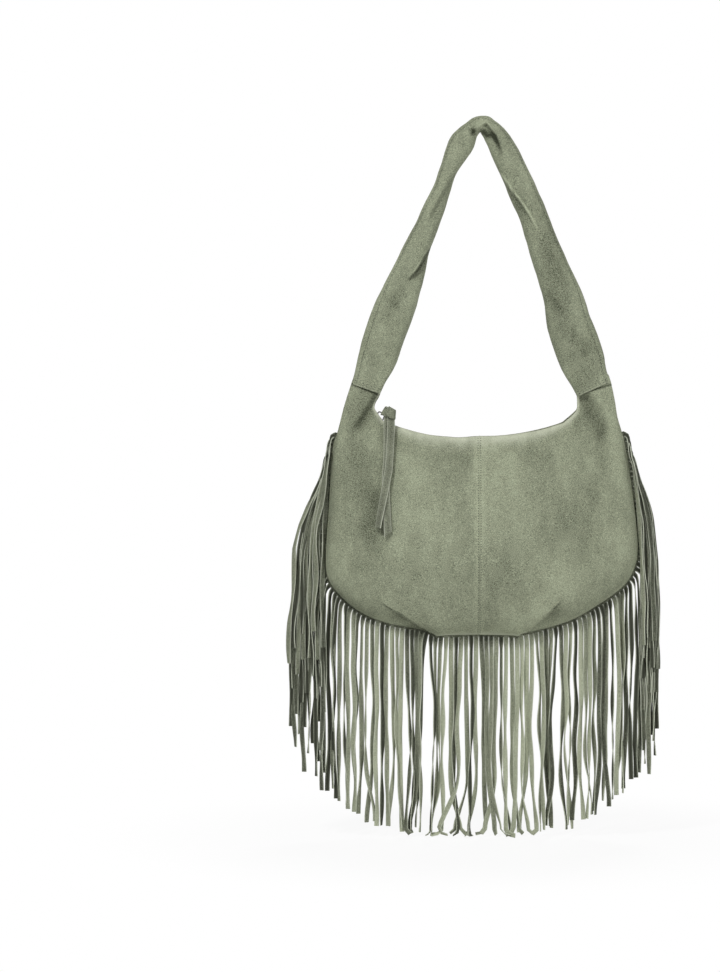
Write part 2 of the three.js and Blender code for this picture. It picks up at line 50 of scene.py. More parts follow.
PICTURE_MIDDLE = Vector((-0.1428, 0, -0.4224))
PICTURE_HEIGHT = 1.1664
EYE_AWAY = 5.0
EYE_RAISED = math.radians(3)
FILM_WIDTH = 36
FLOOR_LEVEL = -0.846
FLOOR_REACH = 12
FLOOR_GREY = (0.86, 0.86, 0.86, 1)
FLOOR_WHITENESS = (0.9, 1.0)  # near the bag, where its shadow shows, and away from it
FLOOR_FADE = (0.18, 0.5)
SURROUND_LIGHT = 0.24


def put_in_scene(name, data):
    made = bpy.data.objects.new(name, data)
    bpy.context.scene.collection.objects.link(made)
    return made


eye_lens = bpy.data.cameras.new("eye")
eye_lens.sensor_width = FILM_WIDTH
eye_lens.lens = FILM_WIDTH * EYE_AWAY / PICTURE_HEIGHT
eye = put_in_scene("eye", eye_lens)
eye.location = PICTURE_MIDDLE + EYE_AWAY * Vector((0, -math.cos(EYE_RAISED), math.sin(EYE_RAISED)))
eye.rotation_euler = (math.pi / 2 - EYE_RAISED, 0, 0)
bpy.context.scene.camera = eye
bpy.context.scene.view_settings.view_transform = "Standard"


class Wire:
    """A node's socket. Sums on it add Math nodes to its plan."""

    def __init__(self, plan, socket):
        self.plan, self.socket = plan, socket

    def other(self, name):
        return Wire(self.plan, self.socket.node.outputs[name])

    def sum_of(self, operation, first, second):
        return self.plan.add("ShaderNodeMath", {"operation": operation}, {0: first, 1: second})

    def __add__(self, other):
        return self.sum_of("ADD", self, other)

    def __radd__(self, other):
        return self.sum_of("ADD", other, self)

    def __sub__(self, other):
        return self.sum_of("SUBTRACT", self, other)

    def __rsub__(self, other):
        return self.sum_of("SUBTRACT", other, self)

    def __mul__(self, other):
        return self.sum_of("MULTIPLY", self, other)

    def __rmul__(self, other):
        return self.sum_of("MULTIPLY", other, self)


class Plan:
    """A node tree that is written as calls."""

    def __init__(self, tree):
        self.tree = tree
        tree.nodes.clear()

    def add(self, kind, settings=None, sockets=None, out=0):
        node = self.tree.nodes.new(kind)
        for name, value in (settings or {}).items():
            setattr(node, name, value)
        for key, value in (sockets or {}).items():
            if isinstance(value, Wire):
                self.tree.links.new(value.socket, node.inputs[key])
            else:
                node.inputs[key].default_value = value
        return Wire(self, node.outputs[out]) if len(node.outputs) else node

    def held(self, value):
        return self.add("ShaderNodeClamp", None, {"Value": value})

    def mixed(self, share, first, second):
        return self.add("ShaderNodeMix", {"data_type": "RGBA"}, {0: share, 6: first, 7: second}, out=2)


def lamp(name, place, aim, size, power):
    light = bpy.data.lights.new(name, "AREA")
    light.shape, light.size, light.energy = "DISK", size, power
    holder = put_in_scene(name, light)
    holder.location = place
    holder.rotation_euler = (Vector(aim) - Vector(place)).to_track_quat("-Z", "Y").to_euler()


lamp("key_light", place=(-1.1, -2.0, 1.9), aim=(0, 0, -0.45), size=0.5, power=56)
lamp("fill_light", place=(1.7, -2.2, -0.4), aim=(0, 0, -0.55), size=1.6, power=24)
lamp("back_light", place=(0.7, 2.3, 1.5), aim=(0, 0, -0.45), size=1.2, power=42)

surround = bpy.data.worlds.new("surround")
surround.use_nodes = True
bpy.context.scene.world = surround
plan = Plan(surround.node_tree)
seen = plan.add("ShaderNodeLightPath", out="Is Camera Ray")
seen = plan.held(seen + seen.other("Is Glossy Ray") + seen.other("Is Transmission Ray"))
sky = plan.add(
    "ShaderNodeBackground", None,
    {"Color": (1, 1, 1, 1), "Strength": seen + (1 - seen) * SURROUND_LIGHT},
)
plan.add("ShaderNodeOutputWorld", None, {0: sky})

paper = bpy.data.materials.new("floor_paper")
paper.use_nodes = True
plan = Plan(paper.node_tree)
seen = plan.add("ShaderNodeLightPath", out="Is Camera Ray")
place = plan.add("ShaderNodeTexCoord", out="Object")
level = plan.add("ShaderNodeVectorMath", {"operation": "MULTIPLY"}, {0: place, 1: (1, 1, 0)})
away = plan.add("ShaderNodeVectorMath", {"operation": "LENGTH"}, {0: level}, out="Value")
whiteness = plan.add(
    "ShaderNodeMapRange", {"interpolation_type": "SMOOTHSTEP"},
    {
        "Value": away, "From Min": FLOOR_FADE[0], "From Max": FLOOR_FADE[1],
        "To Min": FLOOR_WHITENESS[0], "To Max": FLOOR_WHITENESS[1],
    },
)
matt = plan.add("ShaderNodeBsdfDiffuse", None, {"Color": FLOOR_GREY})
white = plan.add("ShaderNodeEmission", None, {"Color": (1, 1, 1, 1), "Strength": 1})
surface = plan.add("ShaderNodeMixShader", None, {0: seen * whiteness, 1: matt, 2: white})
plan.add("ShaderNodeOutputMaterial", None, {0: surface})

floor_mesh = bpy.data.meshes.new("floor")
floor_mesh.from_pydata(
    [(x * FLOOR_REACH, y * FLOOR_REACH, FLOOR_LEVEL) for x, y in ((-1, -1), (1, -1), (1, 1), (-1, 1))],
    [], [(0, 1, 2, 3)],
)
floor_mesh.materials.append(paper)
floor = put_in_scene("floor", floor_mesh)


# The four body panels: soft split suede, napped on both faces. Two make the front and two the back,
# sewn together down the middle and topstitched on both sides of that seam, with a pleat on each
# half where the bottom is gathered in. Their upper corners run up into ears under the strap.

MM = 0.001
SUEDE = 1.4
RIM_TURNS = ((0.5, 0.866), (-0.5, 0.866))  # a round rim's two lines, at 60 and 120 degrees round it
SEWN_GAP = 0.06
ZIP_CENTRE_Z = -64
ZIP_RADIUS = 304.5
BODY_HALF_DEPTH = 38
MOUTH_HALF_WIDTH = 9
# How far the front's top edge stands over the zip, by degrees along it from the middle.
EDGE_ABOVE_ZIP = {1: [(0, 6.1), (15, 4.7), (30, 4.5)], -1: [(0, 6.1), (6, 3.4), (12, 1.9), (30, 1.9)]}
# Where each half's sewn seam runs, as X away from the middle and Z.
SEAM_POINTS = {
    1: [
        (0, -600), (40, -601), (47, -601.8), (53, -598.8), (85, -591), (113, -581.5), (140, -566),
        (165, -548.5), (179, -534), (187.5, -514), (189.5, -492), (187, -462), (180, -411), (176, -386),
        (170.5, -358), (165.6, -339.6), (161.5, -318), (158.4, -301.7), (154.5, -288.8),
    ],
    -1: [
        (0, -600), (43, -601), (50, -601.8), (56, -598.6), (71, -593.5), (110, -586), (138, -575),
        (159.6, -559.5), (175, -542), (181, -528), (182.6, -511), (181, -474), (178, -431), (175.5, -384),
        (169, -357), (161.4, -327), (153.2, -301), (149, -288.8),
    ],
}
# The top edge follows the zip's arc up to an angle in degrees, and then these points of the ear.
EAR_POINTS = {
    1: (19.6, [(112.7, -336.2), (117.4, -330), (118, -321), (117.6, -313.5), (116, -302.4)]),
    -1: (22.4, [(121.2, -335.8), (125.6, -329), (124.8, -322), (120.3, -313.7), (116.5, -302.4)]),
}
# Half the bag's depth where it is fullest, at the top edge and at the seam, by the share of the way from
# the middle to the ear.
FULL_DEPTH = [
    (0, BODY_HALF_DEPTH), (0.36, 35), (0.56, 27), (0.72, 17), (0.82, 9), (0.91, 3.3), (1, 3),
]
TOP_DEPTH = [(0, MOUTH_HALF_WIDTH), (0.64, MOUTH_HALF_WIDTH), (0.78, 6.4), (0.84, 2), (1, 2)]
SEAM_CLEAR = 1.05
SEAM_DEPTH = [(0, SEAM_CLEAR), (0.8, SEAM_CLEAR), (0.88, 2), (1, 2)]
LEAST_DEPTH = 2.2
FULLEST = 0.58  # the share of the way down where the bag is deepest
TOP_SWELL = 0.9  # how round it is above that, and below it
SEAM_SWELL = 3.2
# How much lower than the front's the back's top edge is, by the share of the way from the middle.
BACK_LOWER = {
    1: [(0, 1.6), (0.3, 0.4), (0.6, -0.4), (0.74, -1.2), (0.84, -0.4), (0.92, 1.6), (1, 1.6)],
    -1: [(0, 1.6), (1, 1.6)],
}
BACK_LOWER_REACH = 0.05
PANEL_HIGH = 170
ARC_STEPS = 80
# Points along and across a panel, more on the front, and about which places they lie closer.
PANEL_STEPS = {True: (300, 158), False: (200, 116)}
CLOSER_ALONG = [(0.26, 0.13, 1.6), (0.88, 0.1, 1.6), (0, 0.02, 1.5)]
CLOSER_ACROSS = [(0.95, 0.13, 1.6), (0, 0.04, 1.5)]


def smooth_line(points, steps=30):
    """A curve through points, as many short steps."""
    p = np.array(points, float)
    a, b = p[:-1], p[1:]
    before, after = np.vstack([p[:1], p[:-2]]), np.vstack([p[2:], p[-1:]])
    leave, reach = (b - before) / 2, (after - a) / 2
    t = np.linspace(0, 1, steps, endpoint=False)[:, None, None]
    q = (2 * a - 2 * b + leave + reach) * t**3 + (3 * b - 3 * a - 2 * leave - reach) * t**2 + leave * t + a
    return np.vstack([q.transpose(1, 0, 2).reshape(-1, p.shape[1]), p[-1:]])


def run_of(line):
    """The length of a line up to each of its points."""
    return np.concatenate([[0], np.cumsum(np.linalg.norm(np.diff(line, axis=0), axis=1))])


def at_share(line, share):
    """Points of a line at shares of its length."""
    run = run_of(line)
    return np.stack([np.interp(np.asarray(share) * run[-1], run, column) for column in line.T], -1)


def follow(pairs, place):
    """A value that follows (place, value) pairs, eased between them."""
    at, value = np.array(pairs, float).T
    i = np.clip(np.searchsorted(at, place), 1, len(at) - 1)
    return value[i - 1] + (value[i] - value[i - 1]) * eased(place, at[i - 1], at[i])


def eased(value, low, high):
    """0 up to a low value, 1 from a high one, and smooth between them."""
    t = np.clip((value - low) / (high - low), 0, 1)
    return t * t * (3 - 2 * t)


def top_edge(side):
    """Half the top edge, from the middle along the zip and up the ear."""
    last, ear = EAR_POINTS[side]
    turn = np.radians(np.linspace(0, last, ARC_STEPS))
    radius = ZIP_RADIUS - follow(EDGE_ABOVE_ZIP[side], np.degrees(turn))
    arc = np.stack([radius * np.sin(turn), ZIP_CENTRE_Z - radius * np.cos(turn)], -1)
    return np.vstack([arc[:-1], smooth_line([arc[-1], *ear])])


seam_lines = {side: smooth_line(points) for side, points in SEAM_POINTS.items()}
top_lines = {side: top_edge(side) for side in EAR_POINTS}


def front_depth(along, across):
    """Half the bag's depth at shares of the way along a half and down it."""
    full, top, seam = (follow(p, along) for p in (FULL_DEPTH, TOP_DEPTH, SEAM_DEPTH))
    upper = top + (full - top) * np.sin(np.pi / 2 * np.minimum(across / FULLEST, 1)) ** TOP_SWELL
    fall = np.clip((across - FULLEST) / (1 - FULLEST), 0, 1)
    lower = seam + (full - seam) * np.sqrt(1 - fall**SEAM_SWELL)
    return np.where(across < FULLEST, upper, lower)


def panel_grid(side, alongs, acrosses):
    """Half a front's outer face, from the centre seam outwards and from the top edge down."""
    along, across = np.meshgrid(alongs, acrosses, indexing="ij")
    low = across[..., None]
    flat = at_share(top_lines[side], along) * (1 - low) + at_share(seam_lines[side], along) * low
    return np.stack([side * (flat[..., 0] + SEWN_GAP / 2), -front_depth(along, across), flat[..., 1]], -1)


def spread(steps, *closer):
    """Shares from 0 to 1, closer together about some places, each with its reach and how much closer."""
    fine = np.linspace(0, 1, 4001)
    run = np.cumsum(1 + sum(much * hump(fine - place, reach) for place, reach, much in closer))
    return np.interp(np.linspace(run[0], run[-1], steps), run, fine)


def grid_normals(grid, towards):
    normal = np.cross(np.gradient(grid, axis=0), np.gradient(grid, axis=1))
    normal /= np.maximum(np.linalg.norm(normal, axis=-1, keepdims=True), 1e-9)
    return normal * np.where((normal * towards).sum(-1, keepdims=True) < 0, -1, 1)


def lumps(u, v, size, seed):
    """Smooth lumps from -1 to 1, about that size, the same on every run."""
    table = np.random.default_rng(seed).uniform(-1, 1, (64, 64))
    i, j = np.floor(u / size).astype(int), np.floor(v / size).astype(int)
    f, g = eased(u / size - i, 0, 1), eased(v / size - j, 0, 1)
    near = table[i % 64, j % 64] * (1 - f) + table[(i + 1) % 64, j % 64] * f
    far = table[i % 64, (j + 1) % 64] * (1 - f) + table[(i + 1) % 64, (j + 1) % 64] * f
    return near * (1 - g) + far * g


def beside(x, z, points):
    """How far a surface's points are from a line, positive on its right, and their share along it."""
    line = smooth_line(points, 8)
    nearest, right, share = np.full(x.shape, 1e9), np.zeros(x.shape), np.zeros(x.shape)
    for k, (a, step) in enumerate(zip(line, np.diff(line, axis=0))):
        t = ((x - a[0]) * step[0] + (z - a[1]) * step[1]) / (step @ step)
        held = np.clip(t, 0, 1)
        dx, dz = x - a[0] - held * step[0], z - a[1] - held * step[1]
        far = np.hypot(dx, dz)
        here = far < nearest
        nearest[here] = far[here]
        right[here] = np.sign(step[1] * dx - step[0] * dz)[here]
        share[here] = ((k + held) / (len(line) - 1))[here]
    return nearest * right, share


def hump(distance, width, height=1):
    """A smooth rise about no distance, gone at about twice its width."""
    return height * np.exp(-((distance / width) ** 2))


def fold(distance, over, under, step):
    """A fold's height across its line. One side is raised and the other sunk, by a height and width."""
    high, low = over[0] * hump(distance, over[1]), -under[0] * hump(distance, under[1])
    return high + (low - high) * eased(distance, -step / 2, step / 2)


# Where the front is pleated and creased, as X and Z. The pleats start at the bottom seam, and the ears'
# creases at the strap.
PLEATS = {
    -1: [(-45, -606), (-60, -595.5), (-73, -588), (-85, -580.8), (-95, -573.6), (-109, -566), (-122, -555)],
    1: [(44, -606), (61, -595), (75.6, -580.8), (82.8, -573.6), (90, -566.4), (99, -556)],
}
LEFT_EAR_FOLD = [
    (-119, -308), (-130.8, -324), (-136.8, -333.6), (-142.8, -343.2), (-148.8, -352.8), (-157, -371),
]
RIGHT_EAR_VALLEY = [
    (118, -304), (133.2, -328.8), (139.2, -338.4), (145.2, -357.6), (146.4, -386), (145, -405),
]
SIDE_VALLEY = [(-150, -368), (-145, -390), (-135, -420), (-127, -450), (-129, -488)]
# A fold's upper side and sunk side, each as height and width, and how wide the step between them is.
PLEAT_FOLD = ((1.8, 14), (7.5, 17), 1.0)
LEFT_EAR_STEP = ((2.6, 13), (5.0, 15), 9)
# Soft folds, with their height and width.
SOFT_FOLDS = [
    ([(-150, -470), (-120, -500), (-80, -520)], 1.0, 16),
    ([(60, -420), (95, -450), (130, -455)], -1.2, 15),
    ([(30, -530), (70, -545), (110, -530)], 1.0, 14),
    ([(-40, -400), (-60, -440), (-58, -490)], -0.9, 16),
    ([(150, -400), (158, -440), (150, -490)], -1.2, 12),
    ([(-165, -420), (-166, -460), (-158, -500)], -1.2, 11),
]
# Where each end of the strap lies over its ear, and which way the strap goes on from there.
STRAP_ENDS = {1: ((137.5, -306.1), (-0.29, 0.957)), -1: ((-135.8, -305.9), (0.37, 0.929))}
# The suede's own lumps, as height, size and seed, on the front and on the back.
PANEL_LUMPS = {
    True: [(1.0, 55, 4), (0.45, 23, 6), (0.2, 9, 6)],
    False: [(1.0, 55, 3), (0.45, 23, 5), (0.2, 9, 6)],
}
# Along the centre seam lie a ridge, its puckers, a pale band and a dark line, as width and height or tone.
CENTRE_RIDGE = (3.0, 0.35)
CENTRE_PUCKERS = (8, 0.16)
CENTRE_PALE = (7, 0.16)
CENTRE_DARK = (0.9, 0.07)
PUCKER_LONG = 5.5
# The upper part is a little darker, down to a share of the way at which that ends.
UPPER_DARK = 0.05
UPPER_FADE = (0.65, 0.95)
# The sewn edge is gathered, by the share of the way down, in lumps that run round the bag's middle.
EDGE_GATHERED = ([0.86, 0.97, 1], [0, 1, 0.2])
EDGE_MIDDLE_Z = -430
EDGE_RADIUS = 170
# The pleat's step and its painted shadow line fade out from these shares of its length, and in the seam.
PLEAT_FADES = (0.45, 0.7)
PLEAT_IN_SEAM = ([0, 0.985, 1], [1, 1, 0.4])
# How far into the pleat's sunk side its painted dark shadow line and its painted soft shadow lie, and how
# wide they are.
PLEAT_SHADOW_LINE = (0.9, 1.2)
PLEAT_SHADOW = (4, 10)
# From which shares of their lengths the ears' creases fade out, and their widths and heights or tones; the
# tones are painted shade in the creases and a painted highlight on the right ear's ridge.
LEFT_EAR_FADE = (0.62, 1)
LEFT_EAR_SHADE_FADE = (0.7, 1.02)
LEFT_EAR_SHADE = (7.5, 0.22)
RIGHT_EAR_FADE = (0.5, 1)
RIGHT_EAR_DEEP = (8, 5.6)
RIGHT_EAR_RIDGE = (8, 2.6)
RIGHT_EAR_SHADE = (8, 0.25)
RIGHT_EAR_HIGHLIGHT = (6, 0.07)
SIDE_VALLEY_DEEP = (14, 3.2)
SIDE_VALLEY_SHADE = (16, 0.22)
HEM_SHADOW = (1.3, 0.5)
HEM_PRESSES = (-1, 7)  # the ear is plain above these distances under the strap's end


def panel_relief(side, front, x, z, across):
    """How far the suede stands out from its plain shape, how far front and back are bent forward together,
    and its tone: painted shade where it is creased and folded and along the strap's end, and a painted
    highlight on the right ear's ridge."""
    out = sum(high * lumps(x, z, size, seed) for high, size, seed in PANEL_LUMPS[front])
    middle = np.abs(x)
    puckers = lumps(np.full_like(z, 7.0 * side), z, PUCKER_LONG, 11 + front)
    out += hump(middle, *CENTRE_RIDGE) + puckers * hump(middle, *CENTRE_PUCKERS)
    tone = hump(middle, *CENTRE_PALE) - hump(middle, *CENTRE_DARK)
    tone -= UPPER_DARK * (1 - eased(across, *UPPER_FADE))

    # The gathered edge along the seam.
    at_edge = np.interp(np.clip(across, 0, 1), *EDGE_GATHERED)
    run = np.arctan2(z - EDGE_MIDDLE_Z, x) * EDGE_RADIUS
    out += at_edge * (0.5 * lumps(run, z * 0.12, 6.5, 21 + front) + 0.4 * lumps(run, z * 0.1, 15, 22))

    # The pleat, with a painted dark shadow line and a painted soft shadow on its sunk side.
    distance, share = beside(x, z, PLEATS[side])
    under = distance * side
    in_seam = np.interp(across, *PLEAT_IN_SEAM)
    strong, crease = ((1 - eased(share, fade, 1)) * in_seam for fade in PLEAT_FADES)
    out += strong * fold(under, *PLEAT_FOLD)
    tone -= (0.5 * strong + 0.25 * crease) * hump(under - PLEAT_SHADOW_LINE[0], PLEAT_SHADOW_LINE[1])
    tone -= 0.2 * crease * hump(under - PLEAT_SHADOW[0], PLEAT_SHADOW[1]) * (under > 0)

    if front:
        for line, height, width in SOFT_FOLDS:
            if line[0][0] * side > 0:
                distance, share = beside(x, z, line)
                out += height * hump(distance, width) * np.sin(np.pi * share)
    if side < 0:
        distance, share = beside(x, z, LEFT_EAR_FOLD)
        bend = (1 - eased(share, *LEFT_EAR_FADE)) * fold(-distance, *LEFT_EAR_STEP)
        # Painted shade along the left ear's crease.
        tone -= (1 - eased(share, *LEFT_EAR_SHADE_FADE)) * hump(-distance - 1, *LEFT_EAR_SHADE)
    else:
        distance, share = beside(x, z, RIGHT_EAR_VALLEY)
        strong = 1 - eased(share, *RIGHT_EAR_FADE)
        bend = strong * (hump(distance + 15, *RIGHT_EAR_RIDGE) - hump(distance, *RIGHT_EAR_DEEP))
        # Painted shade in the right ear's valley, and a painted highlight on the ridge beside it.
        tone -= strong * (hump(distance, *RIGHT_EAR_SHADE) - hump(distance + 14, *RIGHT_EAR_HIGHLIGHT))
    if side < 0 and front:
        distance, share = beside(x, z, SIDE_VALLEY)
        strong = np.sin(np.pi * np.clip(share, 0.02, 0.98)) ** 0.7
        out -= strong * hump(distance, *SIDE_VALLEY_DEEP)
        # Painted shade in the valley left of the thong.
        tone -= strong * hump(distance, *SIDE_VALLEY_SHADE)

    # The strap's end presses on the ear, which is plain under it; a painted shadow darkens the ear along
    # the strap's end.
    (end_x, end_z), (up_x, up_z) = STRAP_ENDS[side]
    under_hem = -(x - end_x) * up_x - (z - end_z) * up_z
    tone -= hump(under_hem - 0.6, *HEM_SHADOW)
    below = eased(under_hem, *HEM_PRESSES)
    return out * below, bend * below, tone


def shell(name, outer, inner, finish, attributes=None):
    """A closed sheet between two grids of points in millimetres, with a round rim."""
    rows, columns = outer.shape[:2]
    corners = np.arange(rows * columns).reshape(rows, columns)
    rim = np.concatenate([corners[:-1, 0], corners[-1, :-1], corners[:0:-1, -1], corners[0, :0:-1]])
    i, j = np.divmod(rim, columns)
    inside = outer[np.clip(i, 1, rows - 2), np.clip(j, 1, columns - 2)]
    o, n = outer.reshape(-1, 3)[rim], inner.reshape(-1, 3)[rim]
    half = (o - n) / 2
    thick = np.linalg.norm(half, axis=1, keepdims=True) + 1e-9
    away = o - inside
    away -= half * ((away * half).sum(1, keepdims=True) / thick**2)
    away *= thick / (np.linalg.norm(away, axis=1, keepdims=True) + 1e-9)
    rings = [(o + n) / 2 + half * c + away * s for c, s in RIM_TURNS]
    points = np.vstack([outer.reshape(-1, 3), inner.reshape(-1, 3), *rings])
    a, b, c, d = corners[:-1, :-1], corners[:-1, 1:], corners[1:, 1:], corners[1:, :-1]
    size = rows * columns
    faces = [np.stack([a, b, c, d], -1).reshape(-1, 4)]
    faces.append(np.stack([a, d, c, b], -1).reshape(-1, 4) + size)
    bands = [rim, 2 * size + np.arange(len(rim)), 2 * size + len(rim) + np.arange(len(rim)), rim + size]
    for near, far in zip(bands, bands[1:]):
        faces.append(np.stack([np.roll(near, -1), near, far, np.roll(far, -1)], -1))
    return closed_piece(name, points, np.vstack(faces), finish, attributes, len(faces[0]) * 2)


def closed_piece(name, points, faces, finish, attributes, smooth):
    """An object of a closed skin of quads, turned to face out. The first so many are shaded smooth."""
    p, q = points[faces[:, 0]], points[faces[:, 2]]
    volume = (p * np.cross(points[faces[:, 1]], q)).sum() + (p * np.cross(q, points[faces[:, 3]])).sum()
    if volume < 0:
        faces = faces[:, ::-1]
    mesh = bpy.data.meshes.new(name)
    mesh.from_pydata((points * MM).tolist(), [], faces.tolist())
    mesh.polygons.foreach_set("use_smooth", np.arange(len(faces)) < smooth)
    mesh.materials.append(finish)
    for label, values in (attributes or {}).items():
        filled = np.zeros(len(points), np.float32)
        filled[: len(values)] = values
        mesh.attributes.new(label, "FLOAT", "POINT").data.foreach_set("value", filled)
    return put_in_scene(name, mesh)


def linear(red, green, blue):
    """A colour as a shader takes it, from its screen values."""
    shares = (v / 255 for v in (red, green, blue))
    return (*(((s + 0.055) / 1.055) ** 2.4 if s > 0.04 else s / 12.92 for s in shares), 1)


def finish_of(name):
    material = bpy.data.materials.new(name)
    material.use_nodes = True
    plan = Plan(material.node_tree)
    return material, plan, plan.add("ShaderNodeTexCoord", out="Object")


def surfaced(plan, sockets):
    shader = plan.add("ShaderNodeBsdfPrincipled", None, sockets)
    plan.add("ShaderNodeOutputMaterial", None, {0: shader})


def noise(plan, place, size, detail=2.0, rough=0.5):
    """Cloudy noise whose patches are about that many millimetres across."""
    sockets = {"Vector": place, "Scale": 1000 / (1.6 * size), "Detail": detail, "Roughness": rough}
    return plan.add("ShaderNodeTexNoise", None, sockets)


def suede_finish(name, deep, pale, raw, mottle=0.6, nap=0.36, grain=1.8):
    """Napped suede: soft mottling, smears where the nap lies over, a fine grain, and paler raw edges. The
    same pale mix lays painted highlights, and the tone attribute lays painted shade and light.
    """
    material, plan, place = finish_of(name)
    stretched = plan.add(
        "ShaderNodeMapping", None, {"Vector": place, "Rotation": (0, 0.5, 0), "Scale": (1, 1, 0.55)},
    )
    clouds = noise(plan, stretched, size=36, detail=3)
    smears = noise(plan, stretched, size=10, detail=3, rough=0.6)
    grains = noise(plan, place, size=0.54, detail=2, rough=0.6)
    tone = plan.add("ShaderNodeAttribute", {"attribute_name": "tone"}, out="Fac")
    wear_and_highlight = plan.add("ShaderNodeAttribute", {"attribute_name": "wear_and_highlight"}, out="Fac")
    shade = 0.5 + mottle * (clouds - 0.5) + nap * (smears - 0.5) + grain * (grains - 0.5) + tone
    colour = plan.mixed(plan.held(shade), deep, pale)
    # Towards the raw colour: worn raw edges, and painted highlights.
    colour = plan.mixed(plan.held(wear_and_highlight * (0.4 + 1.2 * grains)), colour, raw)
    height = 0.7 * grains + 0.3 * smears
    relief = plan.add("ShaderNodeBump", None, {"Strength": 0.5, "Distance": 0.8 * MM, "Height": height})
    surfaced(plan, {
        "Base Color": colour, "Roughness": 0.84 + 0.16 * smears, "Normal": relief,
        "Specular IOR Level": 0.2, "Sheen Weight": 0.15, "Sheen Roughness": 0.45,
        "Sheen Tint": linear(205, 210, 190),
    })
    return material


SUEDE_DEEP = linear(58, 62, 48)
SUEDE_PALE = linear(192, 199, 170)
SUEDE_RAW = linear(202, 206, 184)
body_suede = suede_finish("body_suede", SUEDE_DEEP, SUEDE_PALE, SUEDE_RAW)

# The top edge's paleness, its patches there, and the painted highlight on the bottom edge between the
# pleats, as width and strength.
TOP_PALE = (7, 0.75)
TOP_PALE_PATCHES = (9, 0.2)
BOTTOM_HIGHLIGHT = (2, 0.4)
BOTTOM_HIGHLIGHT_TO = (46, 60)  # it fades out between these distances from the middle
panel_faces = {}
for front in (True, False):
    forward = -1 if front else 1
    towards = np.array([0, forward, 0])
    for side, hand in ((1, "right"), (-1, "left")):
        alongs = spread(PANEL_STEPS[front][0], *CLOSER_ALONG)
        acrosses = spread(PANEL_STEPS[front][1], *CLOSER_ACROSS)
        plain = panel_grid(side, alongs, acrosses) * np.array([1, -forward, 1])
        across = np.broadcast_to(acrosses, plain.shape[:2])
        if not front:
            lower = follow(BACK_LOWER[side], alongs)[:, None]
            plain[..., 2] -= lower * hump(across, BACK_LOWER_REACH)
        x, z = plain[..., 0], plain[..., 2]
        relief, bend, tone = panel_relief(side, front, x, z, across)
        relief = np.maximum(relief, LEAST_DEPTH - np.abs(plain[..., 1]))
        # The edge at the centre seam stays in its plane.
        outer = plain + grid_normals(plain, towards) * relief[..., None]
        outer[0, :, 0] = plain[0, :, 0]
        normals = grid_normals(outer, towards)
        normals[0, :, 0] = 0
        inner = outer - normals * SUEDE
        inner[..., 1] = forward * np.maximum(forward * inner[..., 1], SEAM_CLEAR)
        outer[..., 1] -= bend
        inner[..., 1] -= bend
        normals = grid_normals(outer, towards)
        # The top edge is paler, in patches, and a painted highlight lies along the bottom edge between the
        # pleats.
        from_top, from_seam = across * PANEL_HIGH, (1 - across) * PANEL_HIGH
        wear_and_highlight = hump(from_top, *TOP_PALE) + lumps(x, z, 6, 9) * hump(from_top, *TOP_PALE_PATCHES)
        wear_and_highlight += hump(from_seam, *BOTTOM_HIGHLIGHT) * (1 - eased(np.abs(x), *BOTTOM_HIGHLIGHT_TO))
        name = f"{'front' if front else 'back'}_panel_{hand}"
        panel = shell(
            f"{name}_suede", outer, inner, body_suede,
            {"wear_and_highlight": np.clip(wear_and_highlight, 0, 1).ravel(), "tone": tone.ravel()},
        )
        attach(panel, "bag")
        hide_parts(name)
        panel_faces[front, side] = (outer, normals, alongs, acrosses)


def tree_of(name, inputs):
    """A Geometry Nodes tree that takes lines and named sizes, with its plan and its inputs."""
    tree = bpy.data.node_groups.new(name, "GeometryNodeTree")
    tree.interface.new_socket("Lines", in_out="INPUT", socket_type="NodeSocketGeometry")
    for label, kind in inputs.items():
        tree.interface.new_socket(label, in_out="INPUT", socket_type=f"NodeSocket{kind}")
    tree.interface.new_socket("Made", in_out="OUTPUT", socket_type="NodeSocketGeometry")
    plan = Plan(tree)
    return tree, plan, plan.add("NodeGroupInput")


def tree_done(plan, made, finish):
    """Ends a tree: what it has made becomes plain, takes its finish and goes out."""
    made = plan.add("GeometryNodeRealizeInstances", None, {"Geometry": made})
    made = plan.add("GeometryNodeSetMaterial", None, {"Geometry": made, "Material": finish})
    plan.add("NodeGroupOutput", None, {"Made": made})


def grown(name, tree, chains, sizes):
    """Runs a tree on lines in millimetres, and keeps what it makes as a plain mesh.
    A chain is its points, which way each faces, and its tone."""
    points = np.vstack([c[0] for c in chains]) * MM
    last = set(np.cumsum([len(c[0]) for c in chains]) - 1)
    mesh = bpy.data.meshes.new(name)
    mesh.from_pydata(points.tolist(), [(i, i + 1) for i in range(len(points)) if i not in last], [])
    faces = np.vstack([c[1] for c in chains]).astype(np.float32)
    mesh.attributes.new("face", "FLOAT_VECTOR", "POINT").data.foreach_set("vector", faces.ravel())
    tones = np.concatenate([np.broadcast_to(c[2], len(c[0])) for c in chains]).astype(np.float32)
    mesh.attributes.new("tone", "FLOAT", "POINT").data.foreach_set("value", tones)
    lines = put_in_scene(name + "_lines", mesh)
    maker = lines.modifiers.new(tree.name, "NODES")
    maker.node_group = tree
    for socket in tree.interface.items_tree:
        if socket.in_out == "INPUT" and socket.name in sizes:
            maker[socket.identifier] = sizes[socket.name]
    graph = bpy.context.evaluated_depsgraph_get()
    plain = bpy.data.meshes.new_from_object(
        lines.evaluated_get(graph), preserve_all_data_layers=True, depsgraph=graph,
    )
    bpy.data.objects.remove(lines)
    plain.name = name
    plain.polygons.foreach_set("use_smooth", np.ones(len(plain.polygons), bool))
    return put_in_scene(name, plain)


